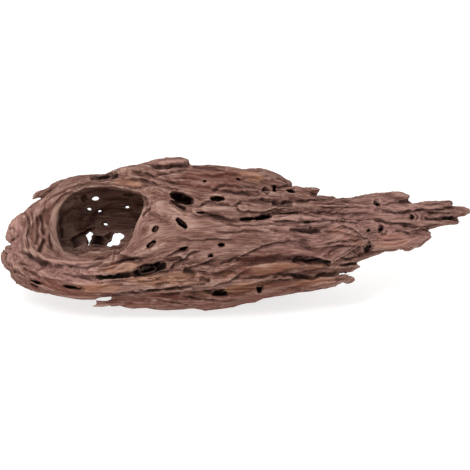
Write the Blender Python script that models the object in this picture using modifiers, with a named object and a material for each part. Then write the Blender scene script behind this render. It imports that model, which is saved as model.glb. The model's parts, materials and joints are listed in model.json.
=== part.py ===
"""Weathered honeycomb driftwood: one grown piece, hollow at its broad end.

Shapes are given in millimetres in the frame of the show face: x along the grain towards the
splintered tail, up the face, and deep into the wood. The face leans back by FACE_LEAN, and the
finished piece is in metres with +Z up, resting on the flat worn under its heaviest part.
"""

import math

import bmesh
import bpy
import numpy as np
from mathutils import Matrix, Vector

NAME = "driftwood"
MM = 0.001
FACE_LEAN = math.radians(20.0)

# Driving sizes, in mm
VOXEL = 1.5
HOLLOW_VOXEL = 2.0
FACES_BEFORE_BORES = 6550
SHORTEST_HALF = 0.5
BORE_SIDES = 8
BORE_RINGS = 5
# The show face reaches this share of the trunk's half height; bores of the face lean this far to its normal
FACE_EDGE = 0.97
BORE_SLANT = 0.35
GROUND_SIZE = 600.0
# The origin, under the middle of the box on the resting flat: x, y and z before the piece is set down
ORIGIN = (0.7, 4.7, 1.5)

# Mouth of the hollow on the show face, in mm: its middle and its half sizes
MOUTH_X = -121.0
MOUTH_UP = 74.0
MOUTH_HALF_X = 38.0
MOUTH_HALF_UP = 29.0

# Ridges keep their width up to BROAD_END_X and draw together as the log slims, radii in mm
BROAD_END_X = -150.0
FULL_RADIUS = 58.0
SLIMMEST_RADIUS = 8.0
# The grain bends round the mouth from the face to GRAIN_BEND_DEEP past the log's middle, fading out in mm
GRAIN_BEND_DEEP = 6.0
GRAIN_BEND_FADE = 24.0
# Length along the grain on the ring left of the mouth, for each half length of the mouth and radian
RING_REACH = 1.3
# Patterns of the surface: length along the grain and width across it in mm, and seed
SWELL = (95, 26, 3)
RIDGES = (70, 11, 11)
FURROWS = (120, 16, 29)
SWELL_HEIGHT = 2.0
RIDGE_HEIGHT = 6.4
RIDGE_MIDDLE = 0.3
FURROW_DEPTH = 3.6
FURROW_WIDTH = 0.09
# Smoother patches of the show face: x, up, half x, half up
WORN_PATCHES = ((-45, 66, 36, 20), (-5, 60, 34, 12), (-62, 84, 18, 14))
WORN_SHARE = 0.8

# Trunk: x, middle up, middle deep, half height, half depth
TRUNK = (
    (-205, 55, -9, 6, 8),
    (-200, 52, -8, 20, 22),
    (-188, 50, -8, 33, 35),
    (-172, 53, -8, 42, 44),
    (-157, 57, -9, 48, 50),
    (-139, 59, -10, 52, 54),
    (-110, 61, -13, 53, 56),
    (-88, 61, -16, 58, 58),
    (-60, 60, -19, 62, 60),
    (-30, 59, -20, 63, 61),
    (0, 59, -19, 59, 59),
    (30, 56, -17, 48, 53),
    (52, 56, -14, 43, 47),
    (75, 55, -10, 38, 41),
    (95, 62, -8, 31, 35),
    (112, 70, -6, 25, 28),
    (130, 72, -4, 24, 24),
    (150, 72, -2, 19.4, 18),
    (166, 75, 0, 12, 12),
    (182, 78, 1, 6, 6),
)

# Free strands: x, up, deep, half width across the face, half thickness into it
FREE_STRANDS = {
    "tail upper prong": (
        (78, 83, -18, 5, 9), (95, 87, -14, 5.6, 10), (112, 91, -9, 5.6, 9),
        (130, 94, -6, 4.8, 8), (147, 95.4, -4, 3.8, 6), (156, 96.2, -3, 2.4, 3), (160, 96.2, -3, 0.7, 1),
    ),
    "tail second prong": (
        (135, 82, -10, 6, 8), (150, 83.6, -8, 4.6, 8), (165, 86.2, -6, 3.6, 6),
        (180, 88, -5, 2.6, 4), (189, 89, -4, 2.1, 2.6), (195.8, 90.2, -4, 0.9, 1.2),
    ),
    "tail tip": (
        (120, 77, -4, 8, 12), (140, 78, -2, 8, 10), (165, 79, 0, 6, 8),
        (185, 79.8, 1, 4.6, 6), (202, 80.4, 2, 3.5, 4.5), (208.4, 80.6, 2, 2.8, 3), (212, 80.2, 2, 0.9, 1.2),
    ),
    "tail lower prong": (
        (150, 71, 3, 7, 9), (172, 71, 4, 5.6, 7), (186, 72.6, 5, 3.8, 5),
        (199, 72.6, 5, 2.9, 2.8), (206, 72.6, 5, 1.2, 1.2),
    ),
    "tail heartwood slab": (
        (110, 57, -18, 7, 12), (121, 55, -15, 10.6, 13), (136, 56, -12, 10, 11),
        (154, 57, -9, 9.4, 9), (165, 59, -6, 8, 7), (172, 60.4, -5, 6.2, 5), (177, 60.4, -5, 3.2, 2.8),
    ),
    "lower prong one": (
        (45, 45, -44, 8, 8), (65, 44, -38, 8, 10), (85, 43, -31, 6, 9),
        (100, 42, -27, 4.2, 7), (110, 41.2, -25, 2.4, 4), (114, 41, -25, 0.8, 1.2),
    ),
    "lower prong two": (
        (45, 34, -46, 9, 10), (65, 33.4, -38, 8, 11), (85, 32.6, -32, 6, 9),
        (100, 32.2, -28, 5.4, 6), (109, 32.4, -26, 4.4, 4), (114, 32.6, -26, 1.6, 1.6),
    ),
    "lower prong three": (
        (0, 16, -44, 9.6, 12), (25, 17, -42, 10.6, 13), (50, 19, -38, 8.8, 12),
        (75, 20.4, -33, 6.4, 10), (92, 21, -29, 4.6, 7.5), (102, 21.4, -27, 3.7, 5), (109, 22.2, -26, 1.8, 2),
    ),
    "upper block": (
        (-112, 112.5, -26, 5, 9), (-98, 114.5, -26, 8, 14), (-76, 115.5, -26, 11, 20),
        (-45, 113, -27, 11, 22), (-18, 111.4, -27, 10.4, 22), (5, 109.4, -25, 10, 21),
        (25, 109, -22, 10.4, 19), (39, 106.6, -21, 9.8, 16), (46, 104.8, -20, 8, 12), (49.6, 102.6, -20, 2.6, 5),
    ),
    "top chip": (
        (-92, 121, -26, 2, 5), (-76, 125.6, -26, 3.6, 9), (-60, 127.2, -27, 3.6, 10),
        (-48, 127.4, -27, 3.2, 9), (-40.4, 126.4, -27, 1.6, 4),
    ),
    "top tongue": (
        (30, 95, -42, 6, 9), (48, 98, -39, 6, 9), (62, 99.2, -36, 5.4, 7),
        (70, 99.4, -35, 5, 5.4), (75, 98.2, -34, 2.8, 3), (78.5, 97.4, -34, 0.9, 1.2),
    ),
    "bottom slab": (
        (-131, -2.4, -50, 1.6, 2), (-120, -1.4, -50, 2.8, 4), (-109, -0.6, -49, 4, 6),
        (-92, 2, -43, 6.6, 13), (-62, 4.6, -39, 9.4, 18), (-30, 4, -36, 11.2, 20),
        (0, 9.4, -36, 10, 18), (22, 14, -36, 9, 14), (42, 19, -36, 4, 7),
    ),
    "lower ring": (
        (-62, 22, -58, 7, 7), (-98, 19, -56, 12.4, 12), (-135, 17.4, -47, 15, 17),
        (-165, 20.6, -36, 14.6, 20), (-184, 26.8, -24, 12.4, 20), (-197, 34.8, -15, 9.8, 17),
        (-204.6, 41, -10, 7.2, 12), (-205.4, 46, -8, 4, 8),
    ),
    "left ring": (
        (-196, 55, -16, 6, 15), (-193.6, 67, -16, 9.8, 19), (-184, 76.6, -16, 8.6, 20),
        (-169, 88, -14, 8, 20), (-148, 101, -14, 9.6, 20), (-122, 107, -16, 8.6, 19),
        (-96, 111, -20, 8, 16),
    ),
    "upper left sliver": (
        (-184, 91.8, -9, 1, 1.4), (-176.5, 97.6, -9, 1.8, 2.6), (-167, 103.6, -9, 2, 4),
        (-156, 108, -11, 2.6, 6), (-144, 110.6, -13, 3, 6),
    ),
}

# Strands on the show face: x, up, lift off the trunk, half width, half thickness
FACE_STRANDS = {
    "lip flap": (
        (-142, 30, 0, 3, 2), (-123, 31, 2, 4.6, 3), (-107, 33, 3, 5, 3.6),
        (-95, 35, 3.6, 4, 3.2), (-88, 36.6, 3.6, 1.6, 1.8),
    ),
    "second flap": (
        (-128, 24, 0, 3, 2), (-105, 25, 2.6, 3.8, 3), (-88, 24.6, 3, 2.8, 2.6), (-77, 24, 3.4, 1, 1),
    ),
    "long flap": (
        (-140, 14, 0, 4, 2.4), (-115, 16, 2.4, 6, 4), (-90, 18, 3, 6.4, 4.4), (-65, 18.6, 2, 6.2, 4),
        (-45, 19.4, 1.4, 4.6, 3.4), (-34, 20.6, 1.4, 2.4, 2.4), (-29, 20.8, 1.4, 1, 1),
    ),
    "face rib": (
        (-40, 83, -1, 2, 2), (-26, 84.6, 1.6, 5, 3.4), (0, 84, 2, 5, 3.4),
        (25, 82.6, 2, 4, 3.2), (46, 83, 1, 3, 2.4),
    ),
    "knotted rib": (
        (12, 92, 0, 3, 2.4), (28, 92, 3, 5.4, 4), (46, 91.6, 3.4, 4.6, 3.6), (60, 91, 1.6, 2, 2),
    ),
    "tail rib": (
        (22, 87, 0, 3, 2.4), (58, 87.6, 2, 5.4, 3.4), (95, 86, 2, 5.2, 3.4), (124, 85, 1, 3.4, 2.4),
    ),
    "middle rib": (
        (-8, 69.6, -1, 3, 2.4), (30, 71, 2, 5.2, 3.4), (62, 71.6, 2.6, 5, 3.4),
        (95, 72, 2, 4.2, 3), (128, 69.6, 1, 3, 2.4),
    ),
    "collar rib": (
        (84, 76, 0, 2.4, 2), (98, 70.6, 2, 3.6, 3), (110, 63.6, 3, 4.2, 3.4), (124, 57, 2, 3.4, 2.6),
    ),
    "face splinter": (
        (38, 44.6, 0, 2.4, 2), (54, 45.6, 3, 3.8, 3.4), (70, 45, 3.4, 3.2, 2.8), (81, 43.6, 2.4, 1.2, 1.4),
    ),
    "heartwood band": (
        (-25, 29, 0, 4, 2.4), (8, 32.4, 2.6, 7, 4.4), (38, 34, 3, 7, 4.6), (62, 34, 2, 5, 3.6),
    ),
    "lower face band": (
        (-50, 12, 0, 5, 3), (-15, 21, 2, 6.4, 4), (20, 23.6, 2.4, 6, 4), (50, 25, 1.6, 4, 3),
    ),
    "shoulder": (
        (-84, 88, -3, 6, 4), (-66, 86, -1, 9, 6), (-40, 74, -1, 10, 6), (-10, 66, -2, 8, 5), (20, 61, -6, 6, 4),
    ),
}

# Strands round the hidden sides: x, angle from the show face over the top, lift, half width, half thickness
ROUND_STRANDS = {
    "crown ridge": (
        (-70, 118, -1, 5, 3), (-30, 122, 3, 8, 6), (15, 118, 3, 7, 5),
        (58, 112, 2, 5, 4), (86, 108, 0, 2, 2),
    ),
    "back shelf": (
        (-150, 158, -1, 6, 4), (-105, 160, 4, 9, 6), (-55, 158, 5, 10, 7),
        (-8, 152, 4, 8, 6), (32, 150, 1, 3, 3),
    ),
    "back ridge": (
        (-60, 196, -1, 5, 4), (-20, 192, 4, 8, 6), (30, 188, 5, 8, 6),
        (72, 182, 4, 6, 5), (112, 178, 1, 3, 3),
    ),
    "back flap": (
        (-172, 205, 0, 6, 4), (-132, 206, 4, 9, 6), (-92, 210, 5, 8, 6),
        (-60, 214, 4, 4, 4), (-48, 216, 4, 1, 1),
    ),
    "under ridge": (
        (-120, 252, -1, 6, 4), (-80, 246, 2, 8, 5), (0, 240, 3, 9, 6),
        (50, 236, 3, 7, 5), (90, 232, 0, 3, 3),
    ),
    "under flap": (
        (-60, 226, 0, 5, 4), (-15, 224, 4, 8, 6), (35, 222, 5, 7, 5),
        (78, 220, 5, 4, 3), (97, 219, 5, 1, 1),
    ),
    "tail back rib": (
        (60, 140, 0, 4, 3), (95, 138, 2, 5, 4), (130, 136, 2, 4, 3),
        (156, 134, 2, 2, 2), (170, 134, 3, 1, 1),
    ),
    "tail under rib": (
        (70, 250, 0, 4, 3), (105, 240, 2, 5, 4), (138, 232, 2, 4, 3),
        (162, 226, 3, 2, 2),
    ),
}

# Hollow behind the mouth, running along the log: x, up, deep, half height, half depth
HOLLOW = (
    (-168, 66, -3, 10, 8),
    (-161, 68, -5, 22, 16),
    (-151, 69, -8, 29, 27),
    (-138, 69.6, -10, 31.6, 38),
    (-122, 70, -12, 33.4, 43),
    (-96, 69, -14, 33.4, 44),
    (-70, 69.4, -16, 30, 40),
    (-46, 72, -18, 24, 30),
    (-26, 74, -20, 16, 20),
    (-14, 75, -21, 6, 8),
)
# Edge of the mouth on the show face, clockwise from its left: x, up
MOUTH_EDGE = (
    (-159, 74), (-156.6, 86), (-149, 95.4), (-138, 102.6), (-121, 103.4), (-102, 102.2), (-89, 100),
    (-83, 97), (-80.2, 93.6), (-83.4, 86), (-85.4, 79), (-90, 70), (-97.6, 60.6), (-106, 52.4),
    (-115, 47.4), (-126, 44.4), (-140, 46), (-151, 50), (-157.4, 60),
)
# Mouth cut from outside into the hollow: deep, size against the edge
MOUTH_CUT = ((-120, 1.02), (-70, 1.0), (-40, 1.0), (-14, 0.98), (4, 0.84))
# Dish round the mouth, wide to its left: deep, middle x, middle up, half x, half up
DISH_CUT = (
    (-120, -146, 71, 62, 42),
    (-60, -146, 71, 54, 38),
    (-48, -146, 71, 47.5, 32),
    (-41, -144, 71.5, 43, 29),
    (-36, -141, 72, 36, 28),
    (-31, -136, 73, 31, 27),
    (-25, -128, 74, 30, 25),
    (-14, -120, 74, 26, 22),
)

# Bores seen on the show face: x, up, half length, half width, tilt in degrees, depth
FACE_BORES = (
    (-47, 94.4, 13, 5.4, -22, 26),
    (-50, 87.4, 9, 2.2, -34, 8),
    (-15.6, 93.6, 8, 3, -4, 9),
    (-29, 81, 8, 1.6, -3, 6),
    (-47.4, 71.6, 8, 2.7, -42, 22),
    (-70.8, 66.4, 4, 2.4, 44, 16),
    (-74.6, 52.8, 6.4, 2.6, 40, 16),
    (-46, 49.2, 6.4, 1.8, 14, 8),
    (-12.2, 52.3, 4.2, 2, 0, 9),
    (-21.2, 43, 4.6, 1.8, 8, 8),
    (11, 75.6, 9, 2.3, 4, 10),
    (25, 76.6, 10, 2.8, 11, 14),
    (-27, 109, 2.8, 1.9, 0, 6),
    (2.8, 110.6, 3.4, 2.2, -10, 7),
    (35, 101, 4.6, 2.8, -55, 18),
    (49, 100.4, 5, 2.6, -16, 9),
    (-75, 31, 17, 4.4, 20, 10),
    (-55, 38.6, 11, 3.6, 14, 8),
    (-13.5, 8.8, 8.6, 2.8, 3, 12),
    (21.6, 13.4, 3.8, 3.4, 70, 10),
    (66, 37, 18, 2.6, -2, 8),
    (119, 49.6, 6.4, 4.2, 58, 11),
    (119, 65.8, 2.4, 2, 0, 5),
    (130.5, 66.6, 3.8, 2, 52, 6),
    (159, 76.6, 4.6, 2.4, 10, 5),
    (127, 88.4, 4, 2.4, 20, 9),
    (-178, 19, 7, 2.4, -16, 18),
    (-146.6, 14.6, 8.4, 2.4, -9, 20),
    (-118, 113, 12, 2, 6, 6),
)
# Bores right through a wall or an edge: x, up, half length, half width, tilt in degrees, deep from and to
THROUGH_BORES = (
    (-126, 94.4, 4.6, 2.1, 12, -6, 70),
    (-132, 84.6, 2.8, 2, -18, -6, 70),
    (-122.6, 82.8, 2.8, 1.6, 14, -6, 70),
    (-97.4, 87, 2.8, 1.8, 0, -6, 70),
    (-117.4, 71.8, 3, 1.8, -6, -6, 70),
    (-132.2, 60.8, 3.2, 3, 0, -6, 70),
    (-131.6, 56.8, 5.2, 2, 84, -6, 70),
    (-108.4, 57.4, 6.6, 3.8, 76, -6, 70),
    (-103.6, 59, 4.6, 3, 30, -6, 70),
    (-112, 53.6, 5.2, 3, 32, -6, 70),
    (-75, 80, 5, 3, 10, -6, 70),
    (-60, 66, 6, 2.6, -14, -6, 70),
    (128, 91.6, 1.5, 1.1, 0, -60, 50),
    (-207, 54, 8.6, 3, -4, -60, 40),
    (-208, 24, 9, 6, 40, -60, 40),
    (99.4, 26.4, 8.6, 1.4, 2, -60, 20),
    (-117, 4.6, 10, 1.8, 5, -80, -12),
)
# Bores on the hidden sides: x, angle from the show face over the top, half length, half width, turn, depth
ROUND_BORES = (
    (-60, 104, 7, 3, 10, 24),
    (-22, 98, 5, 2.4, -8, 10),
    (10, 112, 8, 2.6, 6, 12),
    (-96, 128, 6, 3, -12, 26),
    (-44, 140, 9, 3.4, 8, 26),
    (0, 146, 6, 2.4, 0, 11),
    (42, 132, 7, 2.4, 5, 10),
    (78, 124, 6, 2, -6, 8),
    (-84, 176, 8, 3.4, 14, 26),
    (-30, 174, 7, 3, -10, 14),
    (22, 172, 9, 2.8, 4, 12),
    (62, 166, 6, 2.4, 0, 9),
    (100, 160, 6, 2, 4, 8),
    (-158, 182, 6, 3, 60, 12),
    (-112, 226, 8, 3, -8, 16),
    (-58, 234, 7, 3, 12, 14),
    (-6, 208, 8, 2.6, -4, 12),
    (40, 206, 7, 2.4, 6, 10),
    (88, 204, 6, 2, 0, 8),
    (-130, 262, 7, 2.6, 10, 9),
    (60, 258, 7, 2.4, -5, 9),
)


def smooth_rows(rows, per_span=6):
    """The rows with more between them, on a Catmull-Rom curve through each column."""
    rows = np.asarray(rows, float)
    padded = np.vstack([2 * rows[0] - rows[1], rows, 2 * rows[-1] - rows[-2]])
    spans = []
    for first in range(len(rows) - 1):
        a, b, c, d = padded[first : first + 4]
        for t in np.arange(per_span) / per_span:
            spans.append(
                0.5 * (2 * b + (c - a) * t + (2 * a - 5 * b + 4 * c - d) * t**2 + (3 * b - a - 3 * c + d) * t**3)
            )
    return np.vstack([spans, rows[-1]])


TRUNK_CURVE = smooth_rows(TRUNK, 10)


def trunk_at(x):
    """Middle up, middle deep, half height and half depth of the trunk at x."""
    return [np.interp(x, TRUNK_CURVE[:, 0], TRUNK_CURVE[:, column]) for column in (1, 2, 3, 4)]


def on_trunk(x, angle, lift):
    """Point and outward normal on the trunk, at an angle in degrees from the show face over the top."""
    up, deep, half_up, half_deep = trunk_at(x)
    turn = math.radians(angle)
    normal = np.array([0.0, math.sin(turn) * half_deep, -math.cos(turn) * half_up])
    normal /= np.linalg.norm(normal)
    point = np.array([x, up + half_up * math.sin(turn), deep - half_deep * math.cos(turn)])
    return point + lift * normal, normal


def on_face(x, up, lift):
    """Point and outward normal on the trunk's show face, at a height up the face."""
    middle, _, half_up, _ = trunk_at(x)
    height = max(-FACE_EDGE, min(FACE_EDGE, (up - middle) / half_up))
    return on_trunk(x, math.degrees(math.asin(height)), lift)


def loft(rings):
    """Vertices and faces of a closed form through rings with the same number of points."""
    count, sides = len(rings), len(rings[0])
    faces = []
    for row in range(count - 1):
        for side in range(sides):
            after = (side + 1) % sides
            faces.append(
                (row * sides + side, row * sides + after, (row + 1) * sides + after, (row + 1) * sides + side)
            )
    faces.append(tuple(range(sides))[::-1])
    faces.append(tuple(range((count - 1) * sides, count * sides)))
    return np.vstack(rings), faces


def strand(stations, sides=12):
    """A tapering strand through stations of (point, normal, half width, half thickness)."""
    rows = smooth_rows([(*point, *normal, *halves) for point, normal, halves in stations])
    points, normals = rows[:, :3], rows[:, 3:6]
    halves = np.maximum(rows[:, 6:8], SHORTEST_HALF)
    runs = np.gradient(points, axis=0)
    rings = []
    for point, run, normal, (wide, thick) in zip(points, runs, normals, halves):
        across = np.cross(normal, run)
        across /= np.linalg.norm(across)
        out = np.cross(run, across)
        out /= np.linalg.norm(out)
        turns = np.arange(sides) * 2 * math.pi / sides
        rings.append(point + np.outer(wide * np.cos(turns), across) + np.outer(thick * np.sin(turns), out))
    return loft(rings)


def free_strand(rows):
    return strand([((x, up, deep), (0, 0, -1), halves) for x, up, deep, *halves in rows])


def face_strand(rows):
    return strand([(*on_face(x, up, lift), halves) for x, up, lift, *halves in rows])


def round_strand(rows):
    return strand([(*on_trunk(x, angle, lift), halves) for x, angle, lift, *halves in rows])


def log_form(rows, sides=40):
    """A form along x through rows of x, middle up, middle deep, half height and half depth."""
    rings = []
    for x, up, deep, half_up, half_deep in smooth_rows(rows, 4):
        turns = np.arange(sides) * 2 * math.pi / sides
        ring = np.column_stack(
            [np.full(sides, x), up + half_up * np.sin(turns), deep - half_deep * np.cos(turns)]
        )
        rings.append(ring)
    return loft(rings)


def sunk_form(rows, sides=36):
    """A form running into the wood through rows of deep, middle x, middle up and their halves."""
    rings = []
    for deep, x, up, half_x, half_up in smooth_rows(rows, 4):
        turns = np.arange(sides) * 2 * math.pi / sides
        ring = np.column_stack(
            [x + half_x * np.cos(turns), up + half_up * np.sin(turns), np.full(sides, deep)]
        )
        rings.append(ring)
    return loft(rings)


def mouth_form():
    """The cut through the mouth: its edge carried into the wood."""
    edge = np.array(MOUTH_EDGE, float)
    closed = smooth_rows(np.vstack([edge, edge[:1]]), 3)[:-1]
    middle = closed.mean(axis=0)
    rings = []
    for deep, size in MOUTH_CUT:
        rings.append(np.column_stack([middle + (closed - middle) * size, np.full(len(closed), deep)]))
    return loft(rings)


def bore_form(centre, along, inward, half_length, half_width, half_depth):
    """A long worm bore: an ellipsoid with its length along the grain and its depth inward."""
    along, inward = Vector(along).normalized(), Vector(inward).normalized()
    across = inward.cross(along).normalized()
    along = across.cross(inward)
    frame = Matrix((along * half_length, across * half_width, inward * half_depth)).transposed().to_4x4()
    body = bmesh.new()
    bmesh.ops.create_uvsphere(body, u_segments=BORE_SIDES, v_segments=BORE_RINGS, radius=1.0)
    bmesh.ops.transform(body, matrix=Matrix.Translation(centre) @ frame, verts=body.verts)
    bmesh.ops.recalc_face_normals(body, faces=body.faces)
    body.verts.index_update()
    points = np.array([vertex.co[:] for vertex in body.verts])
    faces = [tuple(vertex.index for vertex in face.verts) for face in body.faces]
    body.free()
    return points, faces


def to_world(points):
    """Points of the show frame, in mm, as world points in metres before the piece is set down."""
    x, up, deep = np.asarray(points, float).T
    lean_sin, lean_cos = math.sin(FACE_LEAN), math.cos(FACE_LEAN)
    return MM * np.column_stack([x, up * lean_sin + deep * lean_cos, up * lean_cos - deep * lean_sin])


def to_show(points):
    """World points in metres as points of the show frame in mm."""
    x, y, z = (np.asarray(points, float) / MM).T
    lean_sin, lean_cos = math.sin(FACE_LEAN), math.cos(FACE_LEAN)
    return np.column_stack([x, y * lean_sin + z * lean_cos, y * lean_cos - z * lean_sin])


def mesh_object(name, forms, collection):
    """One object in the collection, made of the given forms of the show frame."""
    points, faces, start = [], [], 0
    for form_points, form_faces in forms:
        points.append(form_points)
        faces.extend(tuple(start + index for index in face) for face in form_faces)
        start += len(form_points)
    mesh = bpy.data.meshes.new(name)
    mesh.from_pydata(to_world(np.vstack(points)).tolist(), [], faces)
    body = bmesh.new()
    body.from_mesh(mesh)
    bmesh.ops.recalc_face_normals(body, faces=body.faces)
    body.to_mesh(mesh)
    body.free()
    made = bpy.data.objects.new(name, mesh)
    collection.objects.link(made)
    return made


def apply_modifiers(piece):
    """Replaces the object's mesh with what its modifiers make of it."""
    bpy.context.view_layer.update()
    graph = bpy.context.evaluated_depsgraph_get()
    mesh = bpy.data.meshes.new_from_object(piece.evaluated_get(graph))
    old = piece.data
    piece.modifiers.clear()
    piece.data = mesh
    bpy.data.meshes.remove(old)


def fuse(piece, voxel):
    """Fuses overlapping forms into one closed skin."""
    remesh = piece.modifiers.new("Fuse", "REMESH")
    remesh.mode = "VOXEL"
    remesh.voxel_size = voxel * MM
    remesh.adaptivity = 0.0
    apply_modifiers(piece)


def cut(piece, cutter, crossing=False):
    """Takes the cutter's forms out of the piece; crossing says that some of them cross each other."""
    boolean = piece.modifiers.new("Cut", "BOOLEAN")
    boolean.operation = "DIFFERENCE"
    boolean.solver = "EXACT"
    boolean.use_self = crossing
    boolean.object = cutter
    apply_modifiers(piece)


def keep_largest_skin(piece):
    """Fills the hollows that fusing seals and drops loose scraps: the largest skin stays."""
    body = bmesh.new()
    body.from_mesh(piece.data)
    waiting, skins = set(body.verts), []
    while waiting:
        skin, edge = set(), {waiting.pop()}
        while edge:
            skin |= edge
            edge = {link.other_vert(vertex) for vertex in edge for link in vertex.link_edges} - skin
        waiting -= skin
        skins.append(skin)
    largest = max(skins, key=len)
    bmesh.ops.delete(body, geom=[vertex for vertex in body.verts if vertex not in largest], context="VERTS")
    body.to_mesh(piece.data)
    body.free()


def coordinates(mesh, kind="vertices", name="co"):
    values = np.empty(len(getattr(mesh, kind)) * 3, np.float32)
    getattr(mesh, kind).foreach_get(name, values)
    return values.reshape(-1, 3).astype(float)


def lattice_noise(points, seed):
    """Smooth seeded noise from -1 to 1 with a cell of one unit, for each point."""
    cell = np.floor(points).astype(np.int64)
    part = points - cell
    fade = part * part * (3 - 2 * part)
    total = np.zeros(len(points))
    for corner in np.ndindex(2, 2, 2):
        at = cell + corner
        key = at[:, 0] * 73856093 ^ at[:, 1] * 19349663 ^ at[:, 2] * 83492791 ^ seed * 2654435761
        key = (key ^ (key >> 13)) * 1274126177 & 0xFFFFFFFF
        key = (key ^ (key >> 16)) * 668265263 & 0xFFFFFFFF
        value = ((key >> 8) & 0xFFFF) / 32767.5 - 1
        weight = np.where(corner, fade, 1 - fade).prod(axis=1)
        total += weight * value
    return total


def step(value, low, high):
    """Smooth step from 0 at low to 1 at high."""
    part = np.clip((value - low) / (high - low), 0, 1)
    return part * part * (3 - 2 * part)


def grain_frames(points):
    """Two readings of the grain at each point, and the weight of the first.

    The grain runs along the log, parts round the mouth and closes again behind it. Each
    reading holds the distance along the grain, across it and into the wood, in mm. Left of the
    mouth the readings above and below it meet, so both are given.
    """
    x, up, deep = points.T
    middle_up, middle_deep, half_up, half_deep = trunk_at(np.maximum(x, BROAD_END_X))
    across = (up - MOUTH_UP) / MOUTH_HALF_UP
    along = (x - MOUTH_X) / MOUTH_HALF_X
    reach = np.maximum(np.hypot(across, along), 1.0)
    parted_right = across * (1 - 1 / reach**2)
    parted_left = reach - 1 / reach
    left = step(-along, -0.15, 0.15)
    shallow = step(middle_deep + GRAIN_BEND_DEEP - deep, 0, GRAIN_BEND_FADE)
    turn = np.arctan2(np.maximum(-along, 0), np.abs(across) + 1e-6)
    slim = np.sqrt(FULL_RADIUS / np.maximum(np.sqrt(half_up * half_deep), SLIMMEST_RADIUS))
    readings = []
    for side in (1.0, -1.0):
        parted = parted_right * (1 - left) + side * parted_left * left
        bent = MOUTH_UP + MOUTH_HALF_UP * parted
        level = up * (1 - shallow) + bent * shallow
        length = x + (MOUTH_X - RING_REACH * MOUTH_HALF_X * turn - x) * left * shallow
        readings.append(
            np.column_stack([length, (level - middle_up) * slim, (deep - middle_deep) * slim])
        )
    return readings, step(across / reach, -0.25, 0.25)


def grain_noise(frames, length, width, seed):
    """Noise drawn out along the grain, from -1 to 1."""
    readings, weight = frames
    scale = np.array([length, width, width])
    upper = lattice_noise(readings[0] / scale, seed)
    lower = lattice_noise(readings[1] / scale, seed)
    return upper * weight + lower * (1 - weight)


def relief(points):
    """Height of the weathered surface over the bare form, in mm."""
    frames = grain_frames(points)
    swell = SWELL_HEIGHT * grain_noise(frames, *SWELL)
    ridges = RIDGE_HEIGHT * (np.abs(grain_noise(frames, *RIDGES)) - RIDGE_MIDDLE)
    furrows = -FURROW_DEPTH * np.exp(-((grain_noise(frames, *FURROWS) / FURROW_WIDTH) ** 2))
    worn = np.zeros(len(points))
    for x, up, half_x, half_up in WORN_PATCHES:
        away = np.hypot((points[:, 0] - x) / half_x, (points[:, 1] - up) / half_up)
        front = step(-points[:, 2], 10, 40)
        worn = np.maximum(worn, (1 - step(away, 0.5, 1.1)) * front)
    return (swell + ridges + furrows) * (1 - WORN_SHARE * worn)


def weather(piece):
    """Raises the ridges and sinks the furrows of the surface along its normals."""
    mesh = piece.data
    points = coordinates(mesh)
    normals = coordinates(mesh, "vertex_normals", "vector")
    moved = points + MM * relief(to_show(points))[:, None] * normals
    mesh.vertices.foreach_set("co", moved.astype(np.float32).ravel())
    mesh.update()


def thin_out(piece, faces):
    """Leaves about this many triangles, where the form needs them."""
    piece.modifiers.new("Triangles", "TRIANGULATE")
    apply_modifiers(piece)
    collapse = piece.modifiers.new("Thin", "DECIMATE")
    collapse.ratio = faces / len(piece.data.polygons)
    apply_modifiers(piece)


def set_down(piece, collection):
    """Wears the flat that the piece rests on, and puts the origin under the middle of its box."""
    body = bmesh.new()
    bmesh.ops.create_cube(body, size=GROUND_SIZE * MM)
    drop = (ORIGIN[2] - GROUND_SIZE / 2) * MM
    bmesh.ops.translate(body, vec=(0, 0, drop), verts=body.verts)
    mesh = bpy.data.meshes.new("ground")
    body.to_mesh(mesh)
    body.free()
    ground = bpy.data.objects.new("ground", mesh)
    collection.objects.link(ground)
    cut(piece, ground)
    piece.data.transform(Matrix.Translation(Vector(ORIGIN) * -MM))


def bores():
    """The worm bores of every side, as forms of the show frame."""
    forms = []
    for x, up, half_length, half_width, tilt, depth in FACE_BORES:
        point, normal = on_face(x, up, 0)
        turn = math.radians(tilt)
        run = (math.cos(turn), math.sin(turn), 0)
        inward = np.array([0, 0, 1]) - BORE_SLANT * normal
        forms.append(bore_form(point, run, inward, half_length, half_width, depth))
    for x, up, half_length, half_width, tilt, deep_from, deep_to in THROUGH_BORES:
        turn = math.radians(tilt)
        run = (math.cos(turn), math.sin(turn), 0)
        middle, half_depth = (deep_from + deep_to) / 2, (deep_to - deep_from) / 2
        forms.append(bore_form((x, up, middle), run, (0, 0, 1), half_length, half_width, half_depth))
    for x, angle, half_length, half_width, turn, depth in ROUND_BORES:
        point, normal = on_trunk(x, angle, 0)
        sideways = np.cross(normal, (1, 0, 0))
        turned = math.radians(turn)
        run = math.cos(turned) * np.array([1.0, 0, 0]) + math.sin(turned) * sideways
        forms.append(bore_form(point, run, -normal, half_length, half_width, depth))
    return forms


def wood_material():
    material = bpy.data.materials.new("weathered_wood")
    material.use_nodes = True
    surface = material.node_tree.nodes["Principled BSDF"]
    surface.inputs["Base Color"].default_value = (0.198, 0.103, 0.080, 1.0)
    surface.inputs["Roughness"].default_value = 0.82
    surface.inputs["Metallic"].default_value = 0.0
    return material


def new_collection(name):
    made = bpy.data.collections.new(name)
    bpy.context.scene.collection.children.link(made)
    return made


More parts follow.
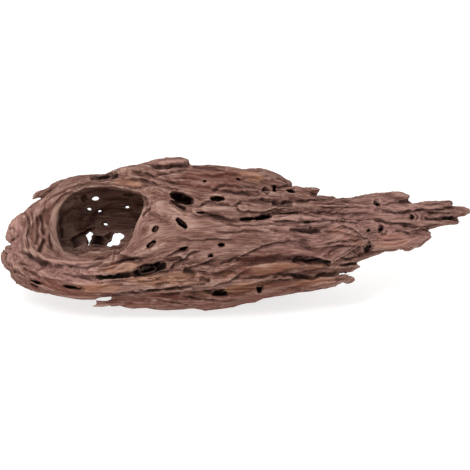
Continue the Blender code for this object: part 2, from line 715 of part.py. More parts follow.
def build():
    for item in list(bpy.data.objects):
        bpy.data.objects.remove(item)
    wood, cutters = new_collection(NAME), new_collection("cutters")

    forms = [log_form(TRUNK)]
    forms += [free_strand(rows) for rows in FREE_STRANDS.values()]
    forms += [face_strand(rows) for rows in FACE_STRANDS.values()]
    forms += [round_strand(rows) for rows in ROUND_STRANDS.values()]
    piece = mesh_object(NAME, forms, wood)
    fuse(piece, VOXEL)

    hollow = mesh_object("hollow", [log_form(HOLLOW), mouth_form(), sunk_form(DISH_CUT)], cutters)
    fuse(hollow, HOLLOW_VOXEL)
    cut(piece, hollow)
    fuse(piece, VOXEL)
    weather(piece)
    fuse(piece, VOXEL)
    keep_largest_skin(piece)
    thin_out(piece, FACES_BEFORE_BORES)

    cut(piece, mesh_object("worm_bores", bores(), cutters), crossing=True)
    set_down(piece, cutters)
    keep_largest_skin(piece)

    for cutter in cutters.objects:
        cutter.hide_render = True
        cutter.display_type = "WIRE"
    piece.data.materials.append(wood_material())


build()
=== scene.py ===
"""Looks of the honeycomb driftwood: its weathered skin, its wood, and the studio it lies in.

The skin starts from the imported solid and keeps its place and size. Shapes on it are given in
millimetres in the frame of the show face: x along the grain towards the splintered tail, up the
face, and deep into the wood.
"""

import json
import logging
import math
from dataclasses import dataclass, field
from enum import Enum
from functools import lru_cache

import bmesh
import bpy
import numpy as np
from mathutils import Matrix, Vector
from mathutils.bvhtree import BVHTree

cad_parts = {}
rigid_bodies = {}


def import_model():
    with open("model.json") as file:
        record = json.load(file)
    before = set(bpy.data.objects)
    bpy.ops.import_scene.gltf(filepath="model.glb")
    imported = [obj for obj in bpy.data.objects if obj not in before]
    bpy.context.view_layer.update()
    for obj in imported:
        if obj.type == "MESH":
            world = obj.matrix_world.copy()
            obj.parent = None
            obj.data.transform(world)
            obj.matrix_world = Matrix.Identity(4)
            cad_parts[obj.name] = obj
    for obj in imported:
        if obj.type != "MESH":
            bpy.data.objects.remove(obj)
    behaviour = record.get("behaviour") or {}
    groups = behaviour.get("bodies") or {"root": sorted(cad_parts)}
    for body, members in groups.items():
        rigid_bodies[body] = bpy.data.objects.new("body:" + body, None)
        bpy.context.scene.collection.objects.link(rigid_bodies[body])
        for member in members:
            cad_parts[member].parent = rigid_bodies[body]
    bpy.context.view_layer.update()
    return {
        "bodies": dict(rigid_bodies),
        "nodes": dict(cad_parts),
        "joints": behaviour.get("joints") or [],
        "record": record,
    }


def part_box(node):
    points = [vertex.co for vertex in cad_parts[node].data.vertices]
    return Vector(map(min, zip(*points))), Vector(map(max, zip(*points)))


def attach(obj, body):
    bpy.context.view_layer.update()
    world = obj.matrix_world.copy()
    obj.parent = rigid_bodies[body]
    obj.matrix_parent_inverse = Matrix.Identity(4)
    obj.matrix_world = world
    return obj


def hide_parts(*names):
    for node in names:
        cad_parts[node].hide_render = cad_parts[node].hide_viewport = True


LOG = logging.getLogger("driftwood")
MM = 0.001
Rows = tuple[tuple[float, ...], ...]
Span = tuple[float, float]
Socket = bpy.types.NodeSocket
TINY = 1e-9
# Mixing steps of the seeded noise, which turn a cell's place into an even spread of values
CELL_PRIMES = (73856093, 19349663, 83492791)
SEED_STEP = 2654435761
MIXERS = ((13, 1274126177), (16, 668265263))
LOW_BITS = 0xFFFFFFFF
LEVELS = 0xFFFF
# Sockets of a mix node: its share, its two values, its two colours, and the colour that it gives
MIX_SHARE = 0
MIX_VALUES = (2, 3)
MIX_COLOURS = (6, 7)
MIXED_COLOUR = 2
# Values that the skin notes at each point and its finish reads
NOTED_VALUES = (
    "openness", "crest_fine", "crest_broad", "hollow_wall", "heartwood", "red_wood", "pale_wood",
    "lit_wall", "worn", "crack",
)


class Cut(Enum):
    """How a line on the show face stands out of the wood or sinks into it."""

    CRACK = "crack"
    GROOVE = "groove"
    LEDGE = "ledge"
    DENT = "dent"


class Blend(Enum):
    """How one colour is laid over another."""

    OVER = "MIX"
    HUE = "COLOR"
    DARKEN = "MULTIPLY"


@dataclass(frozen=True)
class Stroke:
    """A crack, groove or ledge drawn on the show face, in mm; a ledge is raised on the left of its run."""

    kind: Cut
    depth: float
    half: float
    points: tuple[tuple[float, float], ...]


@dataclass(frozen=True)
class Flake:
    """A torn layer on the show face: a bundle of slivers that lift along the grain.

    It starts at x and up and runs its length towards the tail, or towards the broad end with
    towards at -1. Sizes are in mm.
    """

    x: float
    up: float
    length: float
    width: float
    slivers: int
    lift: float = 1.0
    towards: int = 1


@dataclass(frozen=True)
class Prong:
    """A pointed end that the grain runs out in, from its root in the wood to its tip, in mm.

    Root and tip are x and up on the show face. The tip stands its lift in front of the surface,
    and a fuller prong holds its width longer.
    """

    root: tuple[float, float]
    tip: tuple[float, float]
    half_width: float
    half_thickness: float = 1.6
    lift: float = 0.0
    fullness: float = 1.7


# Lines of the show face by their place on it: kind, depth, half width, and points of x and up
UPPER_LINES = (
    Stroke(Cut.CRACK, 3.2, 1.8, ((-76, 124.5), (-65, 122), (-54, 123), (-40, 124.5))),
    Stroke(Cut.GROOVE, 1.6, 2.2, ((-39, 123.5), (-21, 121.5), (-8, 119.5))),
    Stroke(Cut.LEDGE, 1.4, 2.6, (
        (-94, 120), (-83, 118), (-69, 113), (-59, 110), (-44, 106.5), (-24, 105), (-4, 101), (16, 101),
        (24, 102),
    )),
    Stroke(Cut.CRACK, 1.6, 1.1, ((-82, 117), (-72, 114.5), (-61, 116.5), (-51, 118), (-41, 120))),
    Stroke(Cut.LEDGE, 1.2, 2, ((-105, 110), (-90, 112), (-76, 110), (-62, 105), (-46, 102))),
    Stroke(Cut.CRACK, 1.4, 1, ((-55, 112.5), (-39, 112), (-29, 110))),
    Stroke(Cut.CRACK, 1.2, 1, ((-8, 111.5), (2, 110), (10, 113))),
    Stroke(Cut.LEDGE, 1.2, 2, ((-35, 116.5), (-18, 115), (-3, 117), (14, 113.5), (30, 114.5))),
    Stroke(Cut.CRACK, 2, 1.4, ((-21, 100), (-12, 105.5), (4, 104.5), (19, 103))),
    Stroke(Cut.GROOVE, 2.6, 2.6, ((25, 102.5), (32, 99))),
    Stroke(Cut.LEDGE, 1.8, 2.4, ((11, 93), (21, 94), (30, 93), (41, 91), (51, 93))),
    Stroke(Cut.GROOVE, 2.2, 2.6, ((33, 90), (42, 88.5), (53, 89))),
    Stroke(Cut.CRACK, 1.6, 1.1, ((32, 105.5), (39, 103.5), (48, 105.5))),
    Stroke(Cut.CRACK, 1.4, 1, ((37, 112.5), (43, 111), (47, 108))),
    Stroke(Cut.GROOVE, 2.8, 1.7, ((-130, 112.5), (-122, 111), (-114, 112), (-104, 115))),
)
BODY_LINES = (
    Stroke(Cut.CRACK, 2.6, 1.6, ((-58, 92), (-51, 87), (-44, 84))),
    Stroke(Cut.LEDGE, 1.6, 2.4, ((-40, 83), (-32, 79.5), (-24, 81), (-18, 80), (-9, 77), (4, 75.5))),
    Stroke(Cut.LEDGE, 1.5, 2.2, ((-37, 85.5), (-29, 89.5), (-22, 91.5), (-9, 89.5), (0, 89), (6, 93.5))),
    Stroke(Cut.LEDGE, 1.5, 2, ((1, 89), (6, 83), (16, 83), (26, 82), (32, 84.5), (50, 86))),
    Stroke(Cut.CRACK, 1.5, 1.1, ((34, 77), (50, 80), (63, 82))),
    Stroke(Cut.CRACK, 1.1, 0.9, ((-12, 71), (4, 69.5), (24, 71), (45, 69.5))),
    Stroke(Cut.CRACK, 1, 0.9, ((-19, 65), (-3, 63.5), (14, 65), (32, 63))),
    Stroke(Cut.LEDGE, 1.3, 1.8, ((-4, 39), (6, 43), (12, 46), (26, 52), (36, 55), (50, 56.5), (58, 57))),
    Stroke(Cut.CRACK, 1.3, 1, ((-14, 36), (-4, 39), (4, 42.5))),
    Stroke(Cut.LEDGE, 1.4, 2, ((-65, 40.5), (-58, 44), (-51, 48), (-41, 49.5))),
    Stroke(Cut.LEDGE, 1.6, 2, ((-60, 30.5), (-52, 38), (-46, 40.5), (-39, 46), (-31, 48.5))),
    Stroke(Cut.LEDGE, 1.3, 1.8, ((-46, 31.5), (-34, 35), (-24, 39), (-14, 42.5))),
    Stroke(Cut.DENT, 2, 3, ((-46, 30.5), (-40, 28), (-35, 24.5))),
    Stroke(Cut.GROOVE, 3.4, 3.6, ((-91, 25.5), (-82, 30), (-71, 32.5), (-61, 34.5))),
    Stroke(Cut.CRACK, 2.4, 1.4, ((-87, 24.5), (-75, 26.5), (-65, 28), (-58, 29))),
    Stroke(Cut.LEDGE, 1.8, 2, ((-94, 28), (-86, 31.5), (-76, 36))),
    Stroke(Cut.CRACK, 1.4, 1, ((-83, 77.5), (-79, 82), (-75, 87))),
    Stroke(Cut.LEDGE, 1, 1.6, ((-53, 60.5), (-35, 57), (-17, 58.5), (1, 57))),
)
LOWER_LINES = (
    Stroke(Cut.CRACK, 2.6, 1.3, ((-125, 23.5), (-111, 24), (-100, 25), (-93, 26))),
    Stroke(Cut.CRACK, 2, 1.2, ((-123, 33), (-111, 35), (-98, 38.5), (-89, 40))),
    Stroke(Cut.CRACK, 2.8, 1.3, (
        (-122, 7.5), (-106, 8), (-94, 9), (-75, 11.5), (-59, 12.5), (-44, 15), (-34, 17.5),
    )),
    Stroke(Cut.LEDGE, 1.6, 2.2, ((-140, 26), (-128, 25.5), (-111, 26), (-94, 30))),
    Stroke(Cut.CRACK, 1.6, 1.2, ((-123, 30), (-111, 31.5), (-100, 37))),
    Stroke(Cut.LEDGE, 1.5, 1.8, ((-88, 21.5), (-76, 21), (-68, 23.5), (-58, 21.5))),
    Stroke(Cut.LEDGE, 1.5, 1.8, ((-57, 20), (-42, 21.5), (-26, 19.5))),
    Stroke(Cut.GROOVE, 2.2, 2, ((-32, 22.5), (-22, 21.5))),
    Stroke(Cut.CRACK, 1.6, 1.1, ((-31, 12), (-21, 10), (-6, 9), (4, 9.5), (16, 11))),
    Stroke(Cut.LEDGE, 1.6, 2, ((-22, 14.5), (-14, 18.5), (-4, 21.5), (6, 28.5), (15, 31.5))),
    Stroke(Cut.CRACK, 1.5, 1.1, ((5, 21.5), (16, 23.5), (32, 26), (50, 30), (62, 32.5))),
    Stroke(Cut.GROOVE, 1.4, 3, ((-20, 23.5), (-8, 27.5), (6, 35), (26, 39), (50, 43))),
    Stroke(Cut.GROOVE, 1.8, 3, ((19, 14.5), (26, 15.5))),
    Stroke(Cut.CRACK, 1.1, 0.9, ((-50, 7.5), (-32, 4.5), (-12, 2), (4, 3.5))),
    Stroke(Cut.CRACK, 1, 0.9, ((-86, 3.5), (-68, 3), (-48, 0), (-28, -2.5))),
    Stroke(Cut.LEDGE, 1, 1.6, ((-3, 15.5), (10, 17), (24, 21), (40, 21.5), (58, 23.5))),
    Stroke(Cut.CRACK, 1.2, 1, ((-76, 17), (-66, 18), (-53, 21))),
    Stroke(Cut.LEDGE, 1.8, 2, ((49, 43.5), (58, 44.5), (77, 40), (86, 37))),
    Stroke(Cut.GROOVE, 2.6, 2.2, ((50, 38), (59, 39), (75, 38.5), (86, 35))),
    Stroke(Cut.CRACK, 1.6, 1.1, ((94, 39.5), (105, 41), (113, 42))),
    Stroke(Cut.CRACK, 1.6, 1, ((94, 33.5), (103, 35.5), (110, 36))),
    Stroke(Cut.LEDGE, 1.2, 2, ((32, 33), (49, 31), (66, 33.5), (86, 31.5))),
    Stroke(Cut.CRACK, 2.2, 1.4, ((32, 23), (40, 26), (55, 24.5), (69, 23), (76, 25.5), (92, 26.5))),
    Stroke(Cut.CRACK, 1.4, 1, ((24, 17), (36, 20), (50, 22))),
    Stroke(Cut.CRACK, 1.2, 1, ((55, 17), (69, 19), (86, 21), (100, 22.5))),
    Stroke(Cut.CRACK, 1, 0.9, ((40, 12), (58, 15.5), (76, 18))),
)
TAIL_LINES = (
    Stroke(Cut.CRACK, 1.4, 1, ((54, 91), (69, 92.5), (89, 93))),
    Stroke(Cut.CRACK, 1.5, 1, ((77, 90), (91, 89), (105, 90.5), (112, 90))),
    Stroke(Cut.CRACK, 1.2, 1, ((93, 93.5), (104, 95), (116, 95.5))),
    Stroke(Cut.LEDGE, 2.4, 2.2, (
        (32, 73.5), (45, 75), (56, 74), (72, 75), (83, 75.5), (101, 75), (112, 74.5), (123, 75.5),
    )),
    Stroke(Cut.GROOVE, 2.6, 2.2, ((56, 75), (64, 73.5), (72, 75))),
    Stroke(Cut.CRACK, 2.4, 1.3, ((123, 75.5), (131, 73.5), (140, 72), (158, 70), (167, 69))),
    Stroke(Cut.LEDGE, 1.2, 1.8, ((58, 80.5), (76, 82.5), (94, 81), (112, 82), (129, 80.5))),
    Stroke(Cut.CRACK, 1.1, 0.9, ((68, 87), (86, 85.5), (105, 86.5), (122, 85))),
    Stroke(Cut.GROOVE, 2.8, 2, ((48, 66), (60, 65), (71, 64.5), (77, 65.5))),
    Stroke(Cut.CRACK, 1.6, 1.1, ((66, 69), (68, 66.5))),
    Stroke(Cut.LEDGE, 1.5, 2, ((77, 66), (89, 65.5), (101, 63), (107, 61), (119, 58.5))),
    Stroke(Cut.LEDGE, 1.6, 1.8, ((95, 71), (106, 66.5), (114, 61), (122, 57.5))),
    Stroke(Cut.CRACK, 1.2, 0.9, ((81, 53), (94, 55), (105, 56.5), (116, 56))),
    Stroke(Cut.CRACK, 1.2, 1, ((75, 48), (89, 50.5), (104, 51.5), (112, 50.5))),
    Stroke(Cut.GROOVE, 3, 3, ((115, 48), (120, 50.5), (123, 54))),
    Stroke(Cut.CRACK, 1.6, 1.2, ((129, 70.5), (131, 67.5), (130, 64), (134, 62), (137, 66))),
    Stroke(Cut.LEDGE, 1.4, 1.8, ((137, 71), (148, 73), (156, 70.5))),
    Stroke(Cut.CRACK, 1.6, 1.1, ((144, 64), (150, 64.5), (157, 62.5))),
    Stroke(Cut.CRACK, 1.4, 1, ((156, 80), (159, 77.5), (158, 74))),
    Stroke(Cut.CRACK, 1.2, 1, ((161, 81), (164, 77.5), (162, 74))),
    Stroke(Cut.LEDGE, 2, 1.8, ((131, 84), (146, 82.5), (158, 84), (175, 85), (190, 85.5))),
    Stroke(Cut.CRACK, 1.6, 1.2, ((128, 93.5), (125, 90), (129, 86.5))),
    Stroke(Cut.CRACK, 2.4, 1.2, ((170, 76.5), (184, 75.5), (197, 77.5))),
    Stroke(Cut.LEDGE, 1.2, 1.4, ((149, 70), (164, 69), (176, 71))),
    Stroke(Cut.CRACK, 1, 0.8, ((171, 82), (184, 81), (199, 82))),
    Stroke(Cut.CRACK, 1, 0.8, ((163, 89), (176, 88.5), (186, 89))),
    Stroke(Cut.CRACK, 1, 0.8, ((134, 89), (145, 90), (154, 89))),
    Stroke(Cut.CRACK, 0.9, 0.8, ((127, 58.5), (140, 57), (152, 58.5))),
    Stroke(Cut.CRACK, 0.8, 0.8, ((130, 52.5), (143, 53), (156, 56))),
    Stroke(Cut.CRACK, 1, 0.8, ((158, 64), (166, 66), (176, 65))),
)
RING_LINES = (
    Stroke(Cut.GROOVE, 1.8, 2.2, ((-131, 112.5), (-122, 114.5), (-105, 116))),
    Stroke(Cut.CRACK, 1, 1.2, ((-181, 94.5), (-171, 103), (-159, 110))),
    Stroke(Cut.LEDGE, 0.9, 1.8, ((-159, 98), (-148, 104.5), (-136, 108), (-122, 109), (-105, 107))),
    Stroke(Cut.CRACK, 0.9, 1, ((-203, 66.5), (-199, 67.5), (-196, 64))),
    Stroke(Cut.CRACK, 1, 1.1, ((-202, 56), (-197, 58.5), (-194, 62))),
    Stroke(Cut.CRACK, 1.5, 1.3, ((-188, 82), (-184, 69.5), (-186, 57), (-184, 48))),
    Stroke(Cut.CRACK, 1.6, 1.3, ((-174, 79.5), (-172, 69.5), (-171, 60.5))),
    Stroke(Cut.CRACK, 2.4, 1.8, ((-170, 58.5), (-173, 51.5), (-175, 45))),
    Stroke(Cut.CRACK, 1.2, 1.2, ((-177, 80), (-176, 66), (-178, 51.5))),
    Stroke(Cut.CRACK, 1.5, 1.2, ((-166, 80), (-164, 69.5), (-165, 57), (-163, 48))),
    Stroke(Cut.CRACK, 0.7, 0.9, ((-182, 82), (-181, 71), (-183, 58.5))),
    Stroke(Cut.LEDGE, 1.2, 1.6, ((-159, 59.5), (-160, 69.5), (-160, 78.5))),
    Stroke(Cut.CRACK, 2.4, 2.2, ((-192, 47), (-182, 41), (-171, 36), (-163, 34))),
    Stroke(Cut.CRACK, 1.9, 1.8, ((-163, 34), (-147, 33.5), (-136, 31.5), (-126, 34.5), (-116, 39))),
    Stroke(Cut.LEDGE, 1, 1.6, ((-159, 38), (-148, 36), (-140, 35.5), (-130, 37.5), (-121, 41.5))),
    Stroke(Cut.CRACK, 1.2, 1.3, ((-186, 23), (-178, 20), (-171, 17))),
    Stroke(Cut.GROOVE, 1.7, 1.7, ((-155, 16), (-143, 14.5), (-133, 12))),
    Stroke(Cut.LEDGE, 0.8, 1.8, ((-190, 33), (-181, 29), (-172, 24), (-158, 21.5), (-143, 21))),
    Stroke(Cut.CRACK, 0.9, 1, ((-158, 28), (-141, 24.5), (-125, 20))),
    Stroke(Cut.CRACK, 0.8, 0.9, ((-107, 48), (-108, 42.5), (-109, 38))),
    Stroke(Cut.CRACK, 0.8, 1, ((-195, 37), (-188, 35), (-179, 31.5))),
    Stroke(Cut.CRACK, 0.7, 0.9, ((-199, 30), (-190, 25.5), (-184, 20))),
    Stroke(Cut.CRACK, 0.7, 0.9, ((-168, 12), (-156, 9), (-140, 7.5))),
    Stroke(Cut.CRACK, 0.8, 1, ((-125, 13.5), (-112, 15.5), (-98, 17))),
    Stroke(Cut.LEDGE, 0.8, 1.8, ((-125, 20), (-111, 20), (-96, 22.5))),
    Stroke(Cut.CRACK, 0.7, 0.9, ((-172, 90), (-163, 96.5), (-150, 102))),
    Stroke(Cut.CRACK, 0.7, 0.9, ((-158, 93.5), (-147, 99), (-134, 102.5))),
)
HOLLOW_LINES = (
    Stroke(Cut.LEDGE, 1.6, 1.8, ((-156, 79.5), (-152, 84), (-148, 86), (-140, 87.5))),
    Stroke(Cut.CRACK, 1.6, 1.4, ((-156, 79.5), (-157, 69.5), (-156, 58.5))),
    Stroke(Cut.LEDGE, 1.8, 2, ((-149, 57), (-140, 63), (-126, 69.5))),
    Stroke(Cut.DENT, 4, 4.4, ((-145, 60.5), (-141, 51.5))),
    Stroke(Cut.DENT, 4, 4.4, ((-123, 60.5), (-124, 49.5))),
    Stroke(Cut.DENT, 3, 3.6, ((-116, 62), (-113, 57.5))),
    Stroke(Cut.DENT, 2.4, 2.2, ((-138, 92), (-133, 95.5))),
)
# Worm bores of the show face: x, up, half length, half width, tilt in degrees, depth
FACE_BORES = (
    (-47, 94.4, 13, 5.2, -22, 22),
    (-50, 87.4, 9, 2.0, -34, 7),
    (-15.6, 93.6, 7.4, 2.6, -4, 9),
    (-29, 81, 7, 1.3, -3, 6),
    (-47.4, 71.6, 8, 2.3, -42, 20),
    (-70.8, 66.4, 4.2, 2.2, 44, 14),
    (-74.6, 52.8, 6.4, 2.2, 40, 14),
    (-46, 49.2, 6.0, 1.3, 14, 7),
    (-12.2, 52.3, 4.0, 1.6, 0, 8),
    (-21.2, 43, 4.2, 1.4, 8, 7),
    (11, 75.6, 8.6, 2.0, 2, 9),
    (25, 76.6, 10.4, 2.6, 12, 12),
    (-27, 109, 2.4, 1.5, 0, 5),
    (2.8, 110.6, 3.2, 1.9, -10, 6),
    (35, 101, 4.2, 2.2, -55, 14),
    (50, 100.4, 4.6, 2.0, -16, 9),
    (-80, 33.4, 8, 2.6, 10, 7),
    (-70, 36, 10, 2.2, 26, 7),
    (-77.6, 29.8, 7, 1.6, 12, 6),
    (-13.5, 8.8, 8.4, 2.3, 3, 11),
    (21.6, 13.4, 3.6, 2.6, 70, 9),
    (66, 37.6, 17, 1.9, -2, 7),
    (119, 49.6, 6.0, 3.8, 58, 10),
    (119, 65.8, 2.2, 1.6, 0, 5),
    (130.5, 66.6, 3.2, 1.5, 52, 6),
    (127, 88.4, 4, 2.2, 20, 8),
    (-178, 19, 6.6, 1.8, -16, 14),
    (-146.6, 14.6, 8.2, 1.9, -9, 14),
)
# Bores right through a wall or an edge: x, up, half length, half width, tilt in degrees, deep from and to
THROUGH_BORES = (
    (-125.7, 94.1, 4.0, 1.7, 12, -6, 80),
    (-131.4, 84.3, 2.5, 1.7, -18, -6, 80),
    (-122.4, 82.5, 3.0, 1.7, 14, -6, 80),
    (-97.2, 86.7, 2.3, 1.4, 0, -6, 80),
    (-117, 71.2, 2.9, 1.6, -6, -6, 80),
    (-131.2, 62.4, 3.2, 2.4, 10, -6, 80),
    (-131.8, 57, 7.4, 1.7, 86, -6, 80),
    (-104.4, 60.6, 3.4, 3.0, 10, -6, 80),
    (-109.5, 57.2, 4.6, 2.6, 80, -6, 80),
    (-112.6, 52.4, 4.4, 2.4, 20, -6, 80),
    (-106.5, 54.6, 4.2, 2.6, 40, -6, 80),
    (128, 92.2, 1.4, 1.1, 0, -60, 50),
    (99.4, 26.4, 8.6, 1.1, 2, -60, 20),
    (-126.2, 1.6, 5, 2.2, 31, -60, 60),
)
# Torn layers of the show face
FLAKES = (
    Flake(-108, 32.5, 24, 8, 5, 1.4),
    Flake(-102, 22, 28, 6, 4, 1.4),
    Flake(-62, 20, 36, 9, 5, 1.6),
    Flake(-64, 38, 36, 6, 3, 1.2),
    Flake(-46, 34, 42, 7, 4, 1.2),
    Flake(-18, 39, 46, 7, 4, 1.4),
    Flake(-6, 28, 40, 8, 4, 1.0),
    Flake(48, 43, 40, 6, 3, 1.8),
    Flake(84, 41, 30, 6, 4, 1.2),
    Flake(84, 33, 30, 5, 4, 1.2),
    Flake(70, 21, 38, 7, 4, 0.8),
    Flake(170, 88, 22, 4, 3, 0.6),
    Flake(176, 72.5, 32, 5, 3, 0.6),
    Flake(128, 95, 32, 6, 4, 0.8),
    Flake(150, 60, 28, 12, 6, 0.8),
    Flake(60, 100, 18, 6, 4, 0.8),
    Flake(26, 108, 22, 10, 5, 0.8),
    Flake(-40, 118, 40, 8, 4, 1.0),
    Flake(-70, 112, 44, 8, 4, 1.0),
    Flake(-6, 104, 30, 6, 3, 1.0),
    Flake(10, 84, 40, 6, 3, 1.2),
    Flake(60, 82, 46, 6, 3, 1.0),
    Flake(96, 68, 32, 6, 3, 1.2),
    Flake(120, 80, 40, 6, 3, 1.2),
    Flake(100, 92, 30, 6, 3, 0.8),
    Flake(-170, 26, 34, 8, 3, 0.8),
    Flake(-186, 38, 20, 8, 4, 0.8, -1),
    Flake(-192, 70, 18, 8, 4, 0.6, -1),
    Flake(-40, 2, 60, 8, 3, 0.6),
    Flake(10, 18, 44, 8, 4, 0.8),
)
# Pointed ends of the outline, then torn flaps of the face
PRONGS = (
    Prong((141.3, 96), (157.1, 97), 1.6),
    Prong((175.5, 89.7), (195.3, 91), 1.5),
    Prong((179.1, 87.4), (192.6, 86.5), 1.1),
    Prong((188.1, 82.9), (211, 80.9), 2.2),
    Prong((189.9, 84.2), (208.4, 85.2), 1.2),
    Prong((189.9, 79.9), (207.9, 78.4), 1.1),
    Prong((182.7, 75.2), (205.5, 73), 1.7),
    Prong((179.1, 72.5), (202.9, 70.8), 1.2),
    Prong((162, 60), (176.9, 58.6), 2),
    Prong((96.3, 41.1), (113.9, 40.6), 2.1),
    Prong((94.5, 33.4), (112.9, 33.4), 1.7),
    Prong((89.1, 23.5), (107.4, 22.6), 2),
    Prong((90.9, 25.5), (103.1, 25.7), 0.8),
    Prong((60.3, 100.9), (76.1, 99.1), 2),
    Prong((56.7, 103.6), (73.2, 102.4), 1.4),
    Prong((-107.1, 0.1), (-128.2, -2.4), 1.7),
    Prong((-164.7, 104.1), (-183.2, 92.8), 1.8),
    Prong((-186.3, 17.2), (-198, 18.1), 1.6),
    Prong((-186.3, 23.5), (-199.6, 27.1), 1.8),
    Prong((-184.5, 31.6), (-209.2, 33), 2.2),
    Prong((-197.1, 45.1), (-209.3, 47.8), 2.2),
    Prong((51.3, 37), (86.4, 35.2), 1.6, 1.2, 1.8),
    Prong((99, 54.1), (83.7, 55.9), 1.3, 1.2, 0.8),
    Prong((-74.7, 40.6), (-56.7, 46), 1.4, 1.2, 1),
    Prong((-67.5, 37), (-49.5, 42.4), 1.3, 1.2, 1),
    Prong((13.5, 51), (-2.7, 47.8), 1.2, 1.2, 0.8),
    Prong((-121.5, 28.5), (-85.5, 34.8), 4.1, 1.5, 3, 6),
    Prong((-99.9, 36.6), (-84.6, 38.8), 1, 1, 2.4),
    Prong((-105.3, 19.9), (-75.6, 23.5), 2.7, 1.3, 2, 3),
    Prong((-67.5, 19.9), (-26.1, 19), 2.3, 1.3, 2.2, 4),
    Prong((-56.7, 23.1), (-40.5, 23.7), 1.3, 1, 1.6),
    Prong((121.5, 86.1), (155.7, 85.2), 1.8, 1, 1.4, 3),
    Prong((94.5, 19.5), (104.4, 20.3), 1.1),
    Prong((92.7, 37), (109.8, 36.8), 1.1),
    Prong((171, 90.5), (185.4, 91.4), 0.9),
    Prong((148.5, 93.3), (154.8, 95), 0.9),
    Prong((171, 61.3), (176.8, 62.9), 1.1),
)


@lru_cache(maxsize=None)
def smooth_rows(rows: Rows, per_span: int) -> np.ndarray:
    """Adds rows between the given ones, on a Catmull-Rom curve through each column.

    Args:
        rows: the stations, one row each.
        per_span: how many rows each span between two stations becomes.

    Returns:
        The denser rows, with the last station at their end.
    """
    stations = np.asarray(rows, float)
    padded = np.vstack([2 * stations[0] - stations[1], stations, 2 * stations[-1] - stations[-2]])
    spans = []
    for first in range(len(stations) - 1):
        a, b, c, d = padded[first : first + 4]
        for t in np.arange(per_span) / per_span:
            bend = (2 * a - 5 * b + 4 * c - d) * t**2 + (3 * b - a - 3 * c + d) * t**3
            spans.append(0.5 * (2 * b + (c - a) * t + bend))
    return np.vstack([spans, stations[-1]])


def step(value: np.ndarray, low: float, high: float) -> np.ndarray:
    """Smooth step from 0 at low to 1 at high."""
    part = np.clip((value - low) / (high - low), 0, 1)
    return part * part * (3 - 2 * part)


def lattice_noise(points: np.ndarray, seed: int) -> np.ndarray:
    """Gives smooth seeded noise with a cell of one unit.

    Args:
        points: places to read, one row each, with two or three columns.
        seed: which of the patterns to read.

    Returns:
        A value from -1 to 1 for each place.
    """
    cell = np.floor(points).astype(np.int64)
    part = points - cell
    fade = part * part * (3 - 2 * part)
    total = np.zeros(len(points))
    for corner in np.ndindex(*(2,) * points.shape[1]):
        at = cell + corner
        key = np.full(len(points), seed * SEED_STEP)
        for column, prime in zip(at.T, CELL_PRIMES):
            key = key ^ column * prime
        for shift, factor in MIXERS:
            key = (key ^ (key >> shift)) * factor & LOW_BITS
        value = ((key >> 8) & LEVELS) / (LEVELS / 2) - 1
        weight = np.where(corner, fade, 1 - fade).prod(axis=1)
        total += weight * value
    return total


def linear(hex_colour: str) -> tuple[float, float, float, float]:
    """Turns an sRGB hex value to the linear colour that a shader takes.

    Args:
        hex_colour: the colour, such as #7A5A50.

    Returns:
        Red, green and blue, and an alpha of 1.
    """
    channels = [int(hex_colour[at : at + 2], 16) / 255 for at in (1, 3, 5)]
    turned = [c / 12.92 if c <= 0.04045 else ((c + 0.055) / 1.055) ** 2.4 for c in channels]
    return (*turned, 1.0)


@dataclass(frozen=True)
class ShowFrame:
    """The frame of the show face, which leans back, against the world that the piece rests in."""

    lean: float = math.radians(20.0)
    origin: tuple[float, float, float] = (0.7, 4.7, 1.5)

    def to_show(self, points: np.ndarray) -> np.ndarray:
        """World points in metres as x, up and deep in mm.

        Args:
            points: world points in metres, one row each.

        Returns:
            The same points on the show face, in mm.
        """
        x, y, z = (points / MM + self.origin).T
        lean_sin, lean_cos = math.sin(self.lean), math.cos(self.lean)
        return np.column_stack([x, y * lean_sin + z * lean_cos, y * lean_cos - z * lean_sin])

    def to_world(self, point: tuple[float, float, float]) -> Vector:
        """One point of the show frame, in mm, as a world point in metres.

        Args:
            point: x, up and deep, in mm.

        Returns:
            The point in the world, in metres.
        """
        x, up, deep = point
        lean_sin, lean_cos = math.sin(self.lean), math.cos(self.lean)
        world = Vector((x, up * lean_sin + deep * lean_cos, up * lean_cos - deep * lean_sin))
        return (world - Vector(self.origin)) * MM

    def turn(self, way: tuple[float, float, float]) -> Vector:
        """A direction of the show frame as a world direction."""
        return (self.to_world(way) - self.to_world((0, 0, 0))).normalized()

    def to_viewer(self) -> Vector:
        """World direction from the show face straight towards the viewer."""
        return Vector((0.0, -math.cos(self.lean), math.sin(self.lean)))

    def look(self, tree: BVHTree, x: float, up: float) -> tuple[Vector | None, Vector | None]:
        """Finds the surface that the viewer sees at a place of the show face.

        Args:
            tree: the surface.
            x: the place along the log, in mm.
            up: the place up the show face, in mm.

        Returns:
            The point and its normal in the world, or None for both where there is only air.
        """
        viewer = self.to_viewer()
        return tree.ray_cast(self.to_world((x, up, 0)) + viewer, -viewer)[:2]


